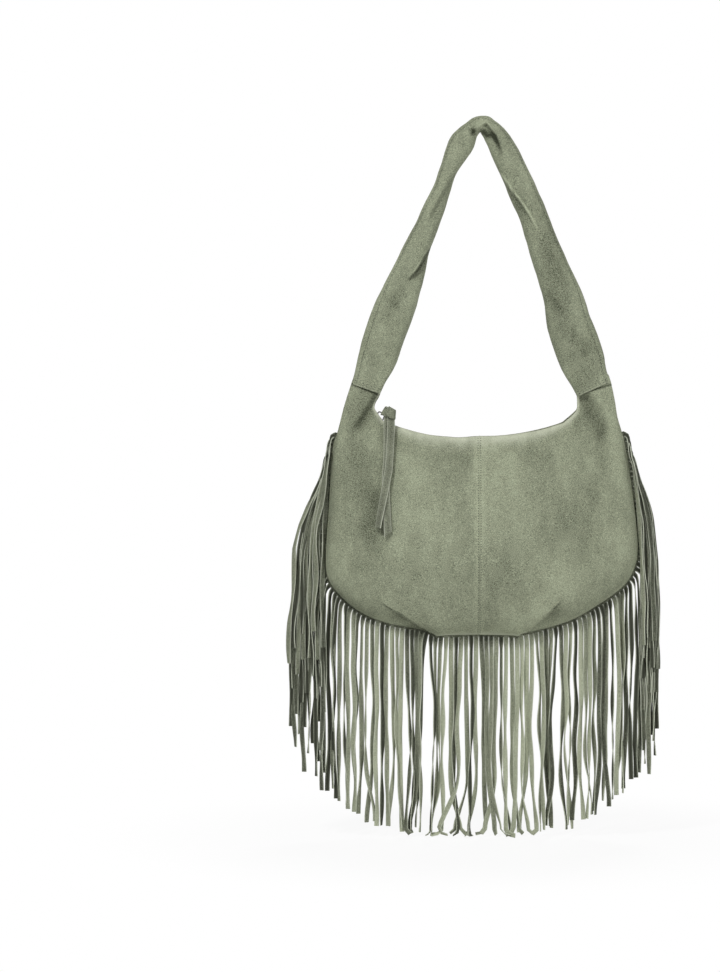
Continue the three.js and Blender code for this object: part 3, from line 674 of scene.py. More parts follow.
stitch_tree, plan, given = tree_of(
    "stitch_rows", {"Pitch": "Float", "Length": "Float", "Width": "Float", "Finish": "Material"},
)
pitch, long, wide = (given.other(name) for name in ("Pitch", "Length", "Width"))
row = plan.add("GeometryNodeMeshToCurve", None, {"Mesh": given})
row = plan.add("GeometryNodeResampleCurve", {"mode": "LENGTH"}, {"Curve": row, "Length": pitch})
along_row = plan.add("GeometryNodeInputTangent")
face = plan.add("GeometryNodeInputNamedAttribute", {"data_type": "FLOAT_VECTOR"}, {"Name": "face"})
turn = plan.add("FunctionNodeAlignRotationToVector", {"axis": "X"}, {"Vector": along_row})
turn = plan.add(
    "FunctionNodeAlignRotationToVector", {"axis": "Z", "pivot_axis": "X"},
    {"Rotation": turn, "Vector": face},
)
ball = plan.add("GeometryNodeMeshUVSphere", None, {"Segments": 8, "Rings": 4, "Radius": 0.5})
size = plan.add("ShaderNodeCombineXYZ", None, {"X": long, "Y": wide, "Z": wide * 0.8})
stitches = plan.add(
    "GeometryNodeInstanceOnPoints", None,
    {"Points": row, "Instance": ball, "Rotation": turn, "Scale": size},
)
tree_done(plan, stitches, given.other("Finish"))

thread, plan, place = finish_of("sewing_thread")
strands = noise(plan, place, size=0.5, detail=1)
surfaced(plan, {
    "Base Color": plan.mixed(strands, linear(34, 36, 29), linear(54, 57, 46)),
    "Roughness": 0.75 + 0.15 * strands,
})


def sewn_rows(name, rows, pitch, stitch):
    """Rows of stitches of a length and a width, as one piece of the bag."""
    sewn = grown(name, stitch_tree, rows, {
        "Pitch": pitch * MM, "Length": stitch[0] * MM, "Width": stitch[1] * MM, "Finish": thread,
    })
    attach(sewn, "bag")


CENTRE_ROW = 1.6
CENTRE_PITCH = 3.05
CENTRE_STITCH = (1.4, 1.0)
STITCH_SUNK = 0.05
ROW_SHORT = 3  # the rows end so many of the panel's points from its edges


def row_on_panel(front, side, from_middle):
    """A line down a panel at a distance from the centre seam, just under the nap."""
    outer, normals, _, _ = panel_faces[front, side]
    far = np.abs(outer[..., 0])
    columns = range(ROW_SHORT, outer.shape[1] - ROW_SHORT)

    def reading(values):
        return np.array([np.interp(from_middle, far[:, j], values[:, j]) for j in columns])

    points = np.stack([reading(outer[..., k]) for k in range(3)], -1)
    faces = np.stack([reading(normals[..., k]) for k in range(3)], -1)
    return points - STITCH_SUNK * faces, faces, 0


for front in (True, False):
    rows = [row_on_panel(front, side, CENTRE_ROW) for side in (1, -1)]
    sewn_rows(f"{'front' if front else 'back'}_centre_stitches", rows, CENTRE_PITCH, CENTRE_STITCH)


# The lining: plain woven cotton, one piece behind the front and one before the back. Each hangs
# inside the panels, a little short of the seams that hold it.

LINING = 0.7
LINING_BELOW = 3
LINING_REACH = 0.7  # towards the ears, as a share of the panel
LINING_ACROSS = (0.08, 0.91)
LINING_THIN = 3  # it takes one in so many of the panel's points


def woven(plan, place, pitch):
    """The threads of a plain weave, from 0 between them to 1 on top of them."""
    scale = 2 * math.pi / (20 * pitch * MM)
    ways = [
        plan.add(
            "ShaderNodeTexWave", {"bands_direction": way},
            {"Vector": place, "Scale": scale, "Distortion": 0.4},
        )
        for way in "XZ"
    ]
    return 0.5 * (ways[0] + ways[1])


def cloth_finish(name, deep, pale, pitch):
    material, plan, place = finish_of(name)
    threads = woven(plan, place, pitch)
    patches = noise(plan, place, size=18, detail=3)
    shade = plan.held(0.2 + 0.6 * threads + 0.5 * (patches - 0.5))
    relief = plan.add("ShaderNodeBump", None, {"Strength": 0.5, "Distance": 0.2 * MM, "Height": threads})
    surfaced(plan, {
        "Base Color": plan.mixed(shade, deep, pale), "Roughness": 0.8 + 0.15 * patches, "Normal": relief,
        "Specular IOR Level": 0.25, "Sheen Weight": 0.15, "Sheen Roughness": 0.5,
    })
    return material


lining_cotton = cloth_finish("lining_cotton", linear(70, 73, 61), linear(98, 102, 87), pitch=0.7)
for front in (True, False):
    halves = []
    for side in (-1, 1):
        outer, normals, alongs, acrosses = panel_faces[front, side]
        rows = np.where(alongs <= LINING_REACH)[0][::LINING_THIN]
        columns = np.where((acrosses >= LINING_ACROSS[0]) & (acrosses <= LINING_ACROSS[1]))[0]
        part = np.ix_(rows[::side], columns[::LINING_THIN])
        halves.append((outer[part], normals[part]))
    face, normals = (np.vstack([half[k] for half in halves]) for k in range(2))
    name = f"lining_{'front' if front else 'back'}"
    lining = shell(
        f"{name}_cotton", face - LINING_BELOW * normals, face - (LINING_BELOW + LINING) * normals,
        lining_cotton,
    )
    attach(lining, "bag")
    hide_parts(name)


# The zip: two woven tapes sewn under the panels' top edges, each with a nylon coil along its inner
# edge, and plated clips as stops at both ends.

COIL_PITCH = 1.35
COIL_WIRE = 0.56
COIL_MIDDLE = 1.5  # from the zip's middle to each coil's
COIL_HALF_WIDTH = 0.92
COIL_HALF_HEIGHT = 0.9
COIL_END_DEG = 24.7
COIL_POINTS = 10  # in each turn

tape_cloth = cloth_finish("zip_tape_cloth", linear(92, 97, 82), linear(122, 127, 108), pitch=0.6)
for name in ("zip_tape_front", "zip_tape_back"):
    frame["nodes"][name].material_slots[0].material = tape_cloth

nylon, plan, place = finish_of("zip_nylon")
patches = noise(plan, place, size=6)
surfaced(plan, {
    "Base Color": plan.mixed(patches, linear(84, 89, 75), linear(106, 111, 94)),
    "Roughness": 0.36 + 0.2 * patches,
})


def plated_finish(name, deep, pale):
    material, plan, place = finish_of(name)
    patches = noise(plan, place, size=3, detail=4, rough=0.6)
    marks = noise(plan, place, size=0.35)
    relief = plan.add("ShaderNodeBump", None, {"Strength": 0.12, "Distance": 0.1 * MM, "Height": marks})
    surfaced(plan, {
        "Base Color": plan.mixed(patches, deep, pale), "Metallic": 1.0, "Roughness": 0.24 + 0.22 * patches,
        "Normal": relief,
    })
    return material


gunmetal = plated_finish("zip_gunmetal", linear(62, 61, 60), linear(98, 96, 93))
for name in ("zip_top_stop_front", "zip_top_stop_back", "zip_bottom_stop"):
    frame["nodes"][name].material_slots[0].material = gunmetal

coil_tree, plan, given = tree_of("zip_coil", {"Wire": "Float", "Finish": "Material"})
wire = plan.add("GeometryNodeMeshToCurve", None, {"Mesh": given})
outline = plan.add(
    "GeometryNodeCurvePrimitiveCircle", None, {"Resolution": 5, "Radius": given.other("Wire") * 0.5},
)
coil = plan.add(
    "GeometryNodeCurveToMesh", None, {"Curve": wire, "Profile Curve": outline, "Fill Caps": True},
)
tree_done(plan, coil, given.other("Finish"))

for face, side in (("front", -1), ("back", 1)):
    half_run = ZIP_RADIUS * math.radians(COIL_END_DEG) - COIL_WIRE
    turns = int(2 * half_run / COIL_PITCH)
    share = np.linspace(-1, 1, turns * COIL_POINTS + 1)
    angle = share * half_run / ZIP_RADIUS
    round_wire = math.pi * turns * (share + 1) + (math.pi if side > 0 else 0)
    away = ZIP_RADIUS + COIL_HALF_HEIGHT * np.sin(round_wire)
    points = np.stack([
        away * np.sin(angle), side * (COIL_MIDDLE + COIL_HALF_WIDTH * np.cos(round_wire)),
        ZIP_CENTRE_Z - away * np.cos(angle),
    ], -1)
    teeth = grown(f"zip_coil_{face}", coil_tree, [(points, np.zeros_like(points), 0)], {
        "Wire": COIL_WIRE * MM, "Finish": nylon,
    })
    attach(teeth, "bag")
    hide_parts(f"zip_teeth_{face}")


# The slider: two plates joined by a web, with lips that run along the coils and a bail bent over its
# top, cast and plated dark. Its edges are rounded off by tumbling.

SLIDER_EDGE = 0.22
SLIDER_CORNER = math.radians(30)
SLIDER_SAME_POINT = 0.005
SLIDER_FLAT = math.radians(1.5)

slider_mesh = frame["nodes"]["zip_slider"].data.copy()
cast = bmesh.new()
cast.from_mesh(slider_mesh)
bmesh.ops.remove_doubles(cast, verts=cast.verts, dist=SLIDER_SAME_POINT * MM)
bmesh.ops.dissolve_limit(cast, angle_limit=SLIDER_FLAT, verts=cast.verts, edges=cast.edges)
cast.to_mesh(slider_mesh)
cast.free()
slider_mesh.name = "zip_slider_plated"
slider = put_in_scene("zip_slider_plated", slider_mesh)
slider_mesh.materials.clear()
slider_mesh.materials.append(gunmetal)
tumbled = slider.modifiers.new("tumbled_edges", "BEVEL")
tumbled.width, tumbled.segments, tumbled.limit_method = SLIDER_EDGE * MM, 2, "ANGLE"
tumbled.angle_limit = SLIDER_CORNER
graph = bpy.context.evaluated_depsgraph_get()
plated = bpy.data.meshes.new_from_object(slider.evaluated_get(graph), depsgraph=graph)
slider.modifiers.clear()
slider.data = plated
plated.polygons.foreach_set("use_smooth", np.ones(len(plated.polygons), bool))
plated.set_sharp_from_angle(angle=SLIDER_CORNER)
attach(slider, "slider")
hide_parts("zip_slider")


# The pull: a suede thong, doubled and looped through the slider's bail, with its two ends drawn
# through its own loop. That loop lies over them as a knot, and they hang free before the front.

THONG_WIDTH = 9
THONG_THICK = 1.5
THONG_TONE = -0.2  # it is darker than the fringe
TAIL_CLEAR = 3.2
TAIL_HELD = -347  # above this height the tails no longer follow the front, which ends there
TAIL_POINTS = 36
TAIL_EVEN = 3  # the front's reach is evened over so many points to each side
TAIL_END = 14  # the length over which an end's slant is drawn out
# The tails' middle lines, as X and Z, how far one crosses before the other, and how slanted the end is cut.
TAILS = {
    "front": ([
        (-106.2, -337), (-105.6, -347.6), (-106.6, -370.6), (-108.4, -399.2), (-110.4, -410.8),
        (-113.5, -427.9), (-118.0, -450.8), (-121.4, -470),
    ], 1.9, 0.8),
    "back": ([
        (-109.4, -337), (-109.9, -347), (-110.3, -388), (-111.8, -404), (-112.0, -426), (-110.9, -451),
        (-109.8, -470), (-109.4, -475.5),
    ], 0.0, 5.6),
}
# How far each tail is turned about its length, in radians, at about a third of it and at its end.
TAIL_ROLL = {"front": (-0.12, 0.75), "back": (0.15, -0.22)}
TAIL_ROLL_AT = (0, 0.35, 1)

# The fringe's and thong's suede: the body's suede made darker, as painted shade, with less mottling, smears
# and grain.
fringe_suede = suede_finish(
    "fringe_suede", linear(44, 47, 36), linear(186, 192, 166), linear(202, 207, 188),
    mottle=0.3, nap=0.3, grain=1.3,
)

strip_tree, plan, given = tree_of(
    "cut_strips", {"Section": "Object", "Width": "Float", "Thick": "Float", "Finish": "Material"},
)
line = plan.add("GeometryNodeMeshToCurve", None, {"Mesh": given})
face = plan.add("GeometryNodeInputNamedAttribute", {"data_type": "FLOAT_VECTOR"}, {"Name": "face"})
line = plan.add("GeometryNodeSetCurveNormal", {"mode": "FREE"}, {"Curve": line, "Normal": face})
outline = plan.add(
    "GeometryNodeObjectInfo", {"transform_space": "ORIGINAL"}, {"Object": given.other("Section")},
    out="Geometry",
)
outline = plan.add("GeometryNodeMeshToCurve", None, {"Mesh": outline})
thick, wide = given.other("Thick"), given.other("Width")
size = plan.add("ShaderNodeCombineXYZ", None, {"X": thick, "Y": wide, "Z": 1})
outline = plan.add("GeometryNodeTransform", None, {"Geometry": outline, "Scale": size})
strips = plan.add(
    "GeometryNodeCurveToMesh", None, {"Curve": line, "Profile Curve": outline, "Fill Caps": True},
)
tree_done(plan, strips, given.other("Finish"))

# A cut strip's section, as shares of its thickness and width, with the pale raw fibre of its cut sides.
CUT_SECTION = [
    (0.22, 0.5, 1), (0.5, 0.41, 0.15), (0.5, 0, 0), (0.5, -0.41, 0.15), (0.22, -0.5, 1),
    (-0.22, -0.5, 1), (-0.5, -0.41, 0.15), (-0.5, 0, 0), (-0.5, 0.41, 0.15), (-0.22, 0.5, 1),
]
section_mesh = bpy.data.meshes.new("cut_section")
corners = len(CUT_SECTION)
section_mesh.from_pydata(
    [(a, b, 0) for a, b, _ in CUT_SECTION], [(i, (i + 1) % corners) for i in range(corners)], [],
)
raw_fibre = section_mesh.attributes.new("wear_and_highlight", "FLOAT", "POINT")
raw_fibre.data.foreach_set("value", [0.95 * raw for _, _, raw in CUT_SECTION])
cut_section = bpy.data.objects.new("cut_section", section_mesh)


def cut_strips(name, chains, width, thick):
    """Strips of a width and thickness along lines, as one piece."""
    return grown(name, strip_tree, chains, {
        "Section": cut_section, "Width": width * MM, "Thick": thick * MM, "Finish": fringe_suede,
    })


def front_reach(x, z):
    """How far out the front comes under a tail's width."""
    outer = panel_faces[True, -1][0]
    under = np.hypot(outer[..., 0] - x, outer[..., 2] - z) < THONG_WIDTH / 2 + 1
    return outer[..., 1][under].min()


FORWARD = np.array([0, -1.0, 0])


def faced(points, roll):
    """Which way a ribbon along points faces when it lies before the bag, turned by an angle at each."""
    ahead = np.gradient(points, axis=0)
    ahead /= np.linalg.norm(ahead, axis=1, keepdims=True)
    out = FORWARD - ahead * (ahead @ FORWARD)[:, None]
    out /= np.linalg.norm(out, axis=1, keepdims=True)
    return np.cos(roll)[:, None] * out + np.sin(roll)[:, None] * np.cross(ahead, out)


tails = {}
for name, (stations, before, slant) in TAILS.items():
    shares = np.linspace(0, 1, TAIL_POINTS)
    flat = at_share(smooth_line(stations), shares)
    reach = np.array([front_reach(x, min(z, TAIL_HELD)) for x, z in flat])
    over = 2 * TAIL_EVEN + 1
    reach = np.convolve(np.pad(reach, TAIL_EVEN, "edge"), np.full(over, 1 / over), "valid")
    points = np.stack([flat[:, 0], reach - TAIL_CLEAR - before - THONG_THICK / 2, flat[:, 1]], -1)
    roll = np.interp(shares, TAIL_ROLL_AT, (0, *TAIL_ROLL[name]))
    chain = (points, faced(points, roll), THONG_TONE)
    tail = cut_strips(f"thong_tail_{name}", [chain], THONG_WIDTH, THONG_THICK)
    place = np.array([v.co for v in tail.data.vertices]) / MM
    near_end = eased(points[-1, 2] + TAIL_END - place[:, 2], 0, TAIL_END)
    place[:, 2] -= slant * near_end * (0.5 - (place[:, 0] - points[-1, 0]) / THONG_WIDTH)
    tail.data.vertices.foreach_set("co", (place * MM).astype(np.float32).ravel())
    tails[name] = (tail, points)

# The knot's two turns, each as its middle, half width and half depth, the tilt of its turn, where it starts
# and ends round it in degrees from the right, its half height, and how far its upper right is drawn in.
KNOT_TURNS = {
    "thong_knot_over": ((-104.9, -15.6, -334.2), (7.0, 5.6), 29, (-60, 196), 5.3, 0.6),
    "thong_knot_under": ((-111.2, -13.4, -334.6), (5.0, 4.4), 38, (60, 300), 3.7, 0.2),
}
KNOT_STEPS = (44, 19)
KNOT_CRUMPLE = (0.4, 4.5, 61)  # height, size and seed
knot_pieces = []
for name, (middle, (wide, deep), tilt, (first, last), tall, drawn) in KNOT_TURNS.items():
    turn = np.radians(np.linspace(first, last, KNOT_STEPS[0]))[:, None]
    up = np.linspace(-1, 1, KNOT_STEPS[1])[None]
    draw_in = 1 - drawn * (0.5 + 0.5 * np.cos(turn)) * (0.5 + 0.5 * up) ** 1.6 + 0.03 * np.clip(-up, 0, 1)
    tilt = math.radians(tilt)
    right = np.array([math.cos(tilt), 0, -math.sin(tilt)])
    above = np.array([math.sin(tilt), 0, math.cos(tilt)])

    def turned(by):
        by = by[..., None]
        round_it = (wide - by) * np.cos(turn)[..., None] * right
        round_it = round_it + (deep - by) * np.sin(turn)[..., None] * FORWARD
        return np.array(middle) + draw_in[..., None] * round_it + (tall - 0.35 * by) * up[..., None] * above

    high, size, seed = KNOT_CRUMPLE
    crumple = high * lumps(np.degrees(turn) * 0.16 + 0 * up, 6 * up + 0 * turn, size, seed)
    knot_pieces.append(shell(
        name, turned(-crumple), turned(THONG_THICK - crumple), fringe_suede,
        {"tone": np.full(2 * crumple.size, THONG_TONE / 2)},
    ))

# The loop goes round the bail, which is the axis of the thong's joint.
swing = next(joint for joint in frame["joints"] if joint["name"] == "thong_swing")
BAIL_MIDDLE = np.array(swing["pos_m"]) / MM
BAIL_ALONG = -np.array(swing["axis"])
BAIL_OUT = np.array([-BAIL_ALONG[2], 0, BAIL_ALONG[0]])
LOOP_ASIDE = 1.6
LOOP_MIDDLE = BAIL_MIDDLE + LOOP_ASIDE * BAIL_ALONG
LOOP_RADIUS = 2.1
LOOP_WIDTH = 4.4
LOOP_THICK = 1.2
round_bar = np.radians(np.linspace(40, 320, 9))
loop_points = smooth_line([
    (-107.8, -14.6, -330.2), (-110.4, -8.6, -327.6),
    *(LOOP_MIDDLE + LOOP_RADIUS * (np.cos(a) * FORWARD + np.sin(a) * BAIL_OUT) for a in round_bar),
    (-112.0, -7.6, -335.0), (-109.4, -13.4, -336.0),
], 5)
loop_faces = np.cross(np.gradient(loop_points, axis=0), BAIL_ALONG)
loop_faces /= np.linalg.norm(loop_faces, axis=1, keepdims=True)
loop = (loop_points, loop_faces, THONG_TONE)
knot_pieces.append(cut_strips("thong_loop", [loop], LOOP_WIDTH, LOOP_THICK))

for piece in (*knot_pieces, *(tail for tail, _ in tails.values())):
    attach(piece, "thong")
    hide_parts("zip_pull_thong")
for name, carried in (("front", knot_pieces), ("back", [])):
    tail, points = tails[name]
    points[0] * MM
    points * MM


# The shoulder strap: one long strip of the body's suede folded into a flat tube and topstitched, with
# its ends over the ears, sewn through by two rows of stitches. Towards the top it is folded lengthwise
# with its inner part turned behind, and at the top bend it is bunched.

STRAP_FLAT = 55
# The strap's middle line from the left end over the top to the right end, as X and Z, with half the
# width that is seen from the front.
STRAP_STATIONS = [
    (-135.8, -305.9, 18.3), (-132.0, -295.2, 19.3), (-127.8, -283.2, 21.0), (-123.6, -271.2, 22.4),
    (-115.8, -247.2, 23.2), (-106.8, -223.2, 24.2), (-97.2, -199.2, 23.3), (-83.4, -163.2, 19.3),
    (-75.6, -139.2, 16.3), (-64.8, -115.2, 14.2), (-54.6, -91.2, 12.7), (-45.0, -67.2, 10.9),
    (-36.6, -43.2, 10.9), (-28.2, -25.2, 14.0), (-19.8, -10.2, 15.0), (-10.2, 3.2, 10.8), (1.2, 10.6, 10.4),
    (12.6, 4.6, 11.8), (21.6, -7.2, 14.0), (28.8, -20.0, 15.6), (34.6, -31.6, 16.4), (45.6, -55.2, 16.2),
    (55.8, -79.2, 16.8), (66.0, -103.2, 16.8), (74.4, -127.2, 18.0), (83.4, -151.2, 19.7),
    (92.4, -175.2, 21.5), (100.8, -199.2, 24.0), (106.8, -223.2, 26.0), (114.6, -247.2, 27.4),
    (123.6, -271.2, 26.9), (127.8, -283.2, 25.2), (132.6, -295.2, 22.9), (137.5, -306.1, 22.1),
]
STRAP_STEPS = 520
STRAP_FRONT = 40  # places across the strap, on its front
STRAP_CAP = 4
HEM_THICK = 8.4
STRAP_THICK = 6.4
FOLD_RADIUS = 4.0
APEX_FOLD_RADIUS = 4.6
APEX_LONG = 34
BEHIND_SHORT = 9  # the part turned behind stays at least this much narrower than the front
# Between which distances from an end the strap gets thinner, folds, arches and gets its lumps.
THINS_OVER = (4, 42)
FOLDS_OVER = (14, 95)
ARCHES_OVER = (4, 45)
LUMPS_OVER = (2, 30)


def strap_section(half_width, thick, radius, folded, inset):
    """A flat tube's outline, from its outer edge along the front, with its inner part turned behind."""
    h = thick / 2
    seen = 2 * half_width - thick
    straight = seen - folded * radius
    turned = min(STRAP_FLAT - 2 * half_width, straight + math.pi * radius - BEHIND_SHORT)
    whole = seen + folded * max(turned, 0)
    q = np.linspace(0, whole, STRAP_FRONT)
    turn = np.clip((q - straight) / radius, 0, np.pi)
    back = np.maximum(q - straight - np.pi * radius, 0)
    line = np.stack([
        half_width - h - np.minimum(q, straight) - radius * np.sin(turn) + back,
        radius * (1 - np.cos(turn)),
    ], -1)
    line[:, 1] -= (line[:, 1].min() + line[:, 1].max()) / 2
    face = np.stack([-np.sin(turn), -np.cos(turn)], -1)
    r = h - inset
    cap = np.pi * (np.arange(STRAP_CAP) + 1) / (STRAP_CAP + 1)
    ahead = np.array([-np.cos(turn[-1]), np.sin(turn[-1])])
    end = line[-1] + r * (np.cos(cap)[:, None] * face[-1] + np.sin(cap)[:, None] * ahead)
    start = line[0] + r * (-np.cos(cap)[:, None] * face[0] + np.sin(cap)[:, None] * np.array([1, 0]))
    return np.vstack([line + r * face, end, (line - r * face)[::-1], start])


strap_table = smooth_line(STRAP_STATIONS)
strap_run = run_of(strap_table[:, :2])
strap_shares = np.linspace(0, 1, STRAP_STEPS + 1)
strap_rows = np.stack([np.interp(strap_shares * strap_run[-1], strap_run, c) for c in strap_table.T], -1)
strap_middle = strap_rows[:, :2]
strap_ahead = np.gradient(strap_middle, axis=0)
strap_ahead /= np.linalg.norm(strap_ahead, axis=1, keepdims=True)
strap_outward = np.stack([-strap_ahead[:, 1], strap_ahead[:, 0]], -1)
strap_at = strap_shares * strap_run[-1]
from_hem = np.minimum(strap_at, strap_run[-1] - strap_at)
apex_at = strap_at[np.argmax(strap_middle[:, 1])]
near_apex = hump(strap_at - apex_at, APEX_LONG)
strap_thick = HEM_THICK + (STRAP_THICK - HEM_THICK) * eased(from_hem, *THINS_OVER)
strap_folded = eased(from_hem, *FOLDS_OVER)
strap_radius = FOLD_RADIUS + (APEX_FOLD_RADIUS - FOLD_RADIUS) * near_apex


def strap_grid(inset):
    rings = []
    for k in range(STRAP_STEPS + 1):
        section = strap_section(strap_rows[k, 2], strap_thick[k], strap_radius[k], strap_folded[k], inset)
        flat = strap_middle[k] + section[:, :1] * strap_outward[k]
        rings.append(np.stack([flat[:, 0], section[:, 1], flat[:, 1]], -1))
    return np.array(rings)


def ring_normals(grid):
    wrapped = np.concatenate([grid[:, -1:], grid, grid[:, :1]], 1)
    normal = np.cross(np.gradient(wrapped, axis=0), np.gradient(wrapped, axis=1))[:, 1:-1]
    return normal / np.maximum(np.linalg.norm(normal, axis=-1, keepdims=True), 1e-9)


# Folds in the strap's front, as X and Z, with the height and width of the upper side, then of the sunk
# side. That is the right of the line, or its left where the next value is -1. Last come the width of the
# step between the sides, how strong the painted highlight on the upper rim is, and how dark the painted
# shadow line under it.
STRAP_FOLDS = [
    (
        [(-22, -38), (-39.6, -63.6), (-50.4, -82.8), (-57.6, -97.2), (-66, -114)],
        (1.0, 7), (4.6, 16), -1, 5, 0.05, 0.05,
    ),
    (
        [(-51, -124), (-64.8, -146.4), (-74.4, -162), (-82, -171), (-88, -178)],
        (1.8, 8), (5.2, 10), -1, 1.3, 0.3, 0.32,
    ),
    (
        [(22, -45), (37.2, -67.2), (48, -81.6), (55.2, -92.4), (63, -106), (74, -130)],
        (1.8, 3), (2.2, 6), 1, 1.3, 0.6, 0.12,
    ),
    ([(7, 13), (13, 4.5), (20, -4.7), (25, -18), (28, -36)], (1.6, 6), (5.5, 8), 1, 1.3, 0.12, 0.2),
]
# Soft hollows, with their depth and width.
STRAP_HOLLOWS = [
    ([(-92.4, -187), (-99.6, -199), (-109, -217), (-112, -232)], 2.6, 7),
    ([(-112, -196), (-104, -207), (-94, -206)], 1.4, 4),
    ([(-9, 6.5), (-8.2, 2.2), (-6, -3)], 3.0, 2.8),
    ([(80, -135), (88, -163), (100, -182)], 2.0, 8),
    ([(78, -188), (88, -203), (101, -218)], 4.0, 7),
    ([(106, -232), (120, -250), (131, -268)], 3.4, 7),
]
HOLLOW_SHADE = 0.05  # painted shade in the hollows, for each millimetre of depth
# At the top bend the suede is pinched. Painted shade makes a dark spot left of the bend, and a dark hollow
# down its right.
PINCH_MIDDLE = (-7.4, 1.4)
PINCH_SHADE = (3.2, 0.65)  # width and tone
BEND_HOLLOW = [(4.5, 1), (9, -2.5), (16.6, -4.6), (23.5, -17.5), (27, -31)]
BEND_SHADE = [(5, 0.4), (2, 0.3)]
TOPSTITCH_IN = [(0, 5.5), (70, 6.5), (150, 3.2), (240, 2.6)]  # by the distance from an end
TOPSTITCH_SINKS = (1.5, 0.5)
TOPSTITCH_DARK = (1.3, 0.1)
STRAP_ROUND = 0.26  # how far its front is arched, as a share of half its width
HEM_ROUND = 0.35  # the share of that at its ends
# The suede's own lumps, and those of the bunched bend with their reach, as height, size and seed.
STRAP_LUMPS = [(0.6, 34, 31), (0.4, 13, 32)]
APEX_LUMPS = (0.9, 6, 33)
APEX_LUMPS_REACH = 20
# Painted shade: the strap's right half is a little darker.
RIGHT_SHADE = 0.06

strap_plain = strap_grid(0)
strap_normals = ring_normals(strap_plain)
if strap_normals[0, : STRAP_FRONT // 2, 1].mean() > 0:
    strap_normals = -strap_normals
x, z = strap_plain[..., 0], strap_plain[..., 2]
facing = eased(-strap_normals[..., 1], -0.2, 0.5)
run = np.broadcast_to(strap_at[:, None], x.shape)
from_end = np.minimum(run, run[-1] - run)
round_place = np.broadcast_to(2.0 * (np.arange(x.shape[1]) + 1), x.shape)
strap_relief = sum(high * lumps(run, round_place, size, seed) for high, size, seed in STRAP_LUMPS)
strap_relief *= eased(from_end, *LUMPS_OVER)
high, size, seed = APEX_LUMPS
strap_relief += high * hump(run - apex_at, APEX_LUMPS_REACH) * lumps(run, round_place, size, seed)
strap_sunk = np.zeros_like(run)
# Painted shade darkens the right half a little.
strap_tone = -RIGHT_SHADE * eased(x, 0, 30)
for line, over, under, right, step, pale, shadow_dark in STRAP_FOLDS:
    distance, share = beside(x, z, line)
    distance *= right
    strong = eased(share, 0, 0.12) * (1 - eased(share, 0.6, 1))
    strap_sunk += strong * fold(distance, over, under, step)
    # A painted highlight on the upper rim, a painted shadow line under it and a wider, softer painted
    # shadow.
    rim, shadow_below_rim = pale * hump(distance + 1.3, 1.1), shadow_dark * hump(distance - 1.2, 1.5)
    strap_tone += strong * (rim - shadow_below_rim - 0.1 * hump(distance - 3, 6))
for line, deep, width in STRAP_HOLLOWS:
    distance, share = beside(x, z, line)
    sunk = deep * np.sin(np.pi * np.clip(share, 0.02, 0.98)) ** 0.6 * hump(distance, width)
    strap_sunk -= sunk
    # Painted shade, darker in the deeper hollows.
    strap_tone -= HOLLOW_SHADE * sunk
# Painted shade at the pinch and down the bend's right.
from_pinch = np.hypot(x - PINCH_MIDDLE[0], (z - PINCH_MIDDLE[1]) * 0.8)
strap_tone -= hump(from_pinch, *PINCH_SHADE)
distance, share = beside(x, z, BEND_HOLLOW)
strap_tone -= (1 - eased(share, 0.3, 1)) * sum(hump(distance, *shadow_dark) for shadow_dark in BEND_SHADE)
half_wide = strap_rows[:, 2:3]
aside = strap_plain[..., (0, 2)] - strap_middle[:, None]
from_middle = (aside * strap_outward[:, None]).sum(-1) / half_wide
topstitch_in = follow(TOPSTITCH_IN, from_hem)
from_topstitch = half_wide * (1 - from_middle) - topstitch_in[:, None]
strap_sunk -= hump(from_topstitch, *TOPSTITCH_SINKS)
strap_tone -= hump(from_topstitch, *TOPSTITCH_DARK)
arch = STRAP_ROUND * strap_rows[:, 2] * (HEM_ROUND + (1 - HEM_ROUND) * eased(from_hem, *ARCHES_OVER))
strap_sunk += arch[:, None] * (0.45 - from_middle**2)
strap_move = strap_normals * strap_relief[..., None] + FORWARD * strap_sunk[..., None]
strap_outer = strap_plain + strap_move
strap_inner = strap_grid(SUEDE) + strap_move


def tube(name, outer, inner, finish, attributes):
    """A hollow tube between two grids of rings in millimetres, with open ends."""
    rows, around = outer.shape[:2]
    size = rows * around
    place = np.arange(size).reshape(rows, around)
    beyond = np.roll(place, -1, 1)
    faces = [
        np.stack([place[:-1], beyond[:-1], beyond[1:], place[1:]], -1).reshape(-1, 4),
        np.stack([place[:-1], place[1:], beyond[1:], beyond[:-1]], -1).reshape(-1, 4) + size,
        np.stack([place[0], place[0] + size, beyond[0] + size, beyond[0]], -1),
        np.stack([place[-1], beyond[-1], beyond[-1] + size, place[-1] + size], -1),
    ]
    points = np.vstack([outer.reshape(-1, 3), inner.reshape(-1, 3)])
    return closed_piece(name, points, np.vstack(faces), finish, attributes, len(faces[0]) * 2)


strap = tube("shoulder_strap_suede", strap_outer, strap_inner, body_suede, {
    "wear_and_highlight": (0.12 * hump(from_end, 2.5)).ravel(), "tone": (strap_tone * facing).ravel(),
})
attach(strap, "bag")
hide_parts("shoulder_strap")


def row_on_strap(rows, places):
    """Points of the strap's front at rows of its length and at millimetres in from its outer edge."""
    points, faces = [], []
    for row, place in zip(rows, places):
        whole = np.linalg.norm(np.diff(strap_outer[row, :STRAP_FRONT], axis=0), axis=1)
        reach = np.concatenate([[0], np.cumsum(whole)]) + strap_thick[row] / 2
        for out, source in ((points, strap_outer), (faces, strap_normals)):
            out.append([np.interp(place, reach, source[row, :STRAP_FRONT, k]) for k in range(3)])
    points, faces = np.array(points), np.array(faces)
    return points - STITCH_SUNK * faces, faces, 0


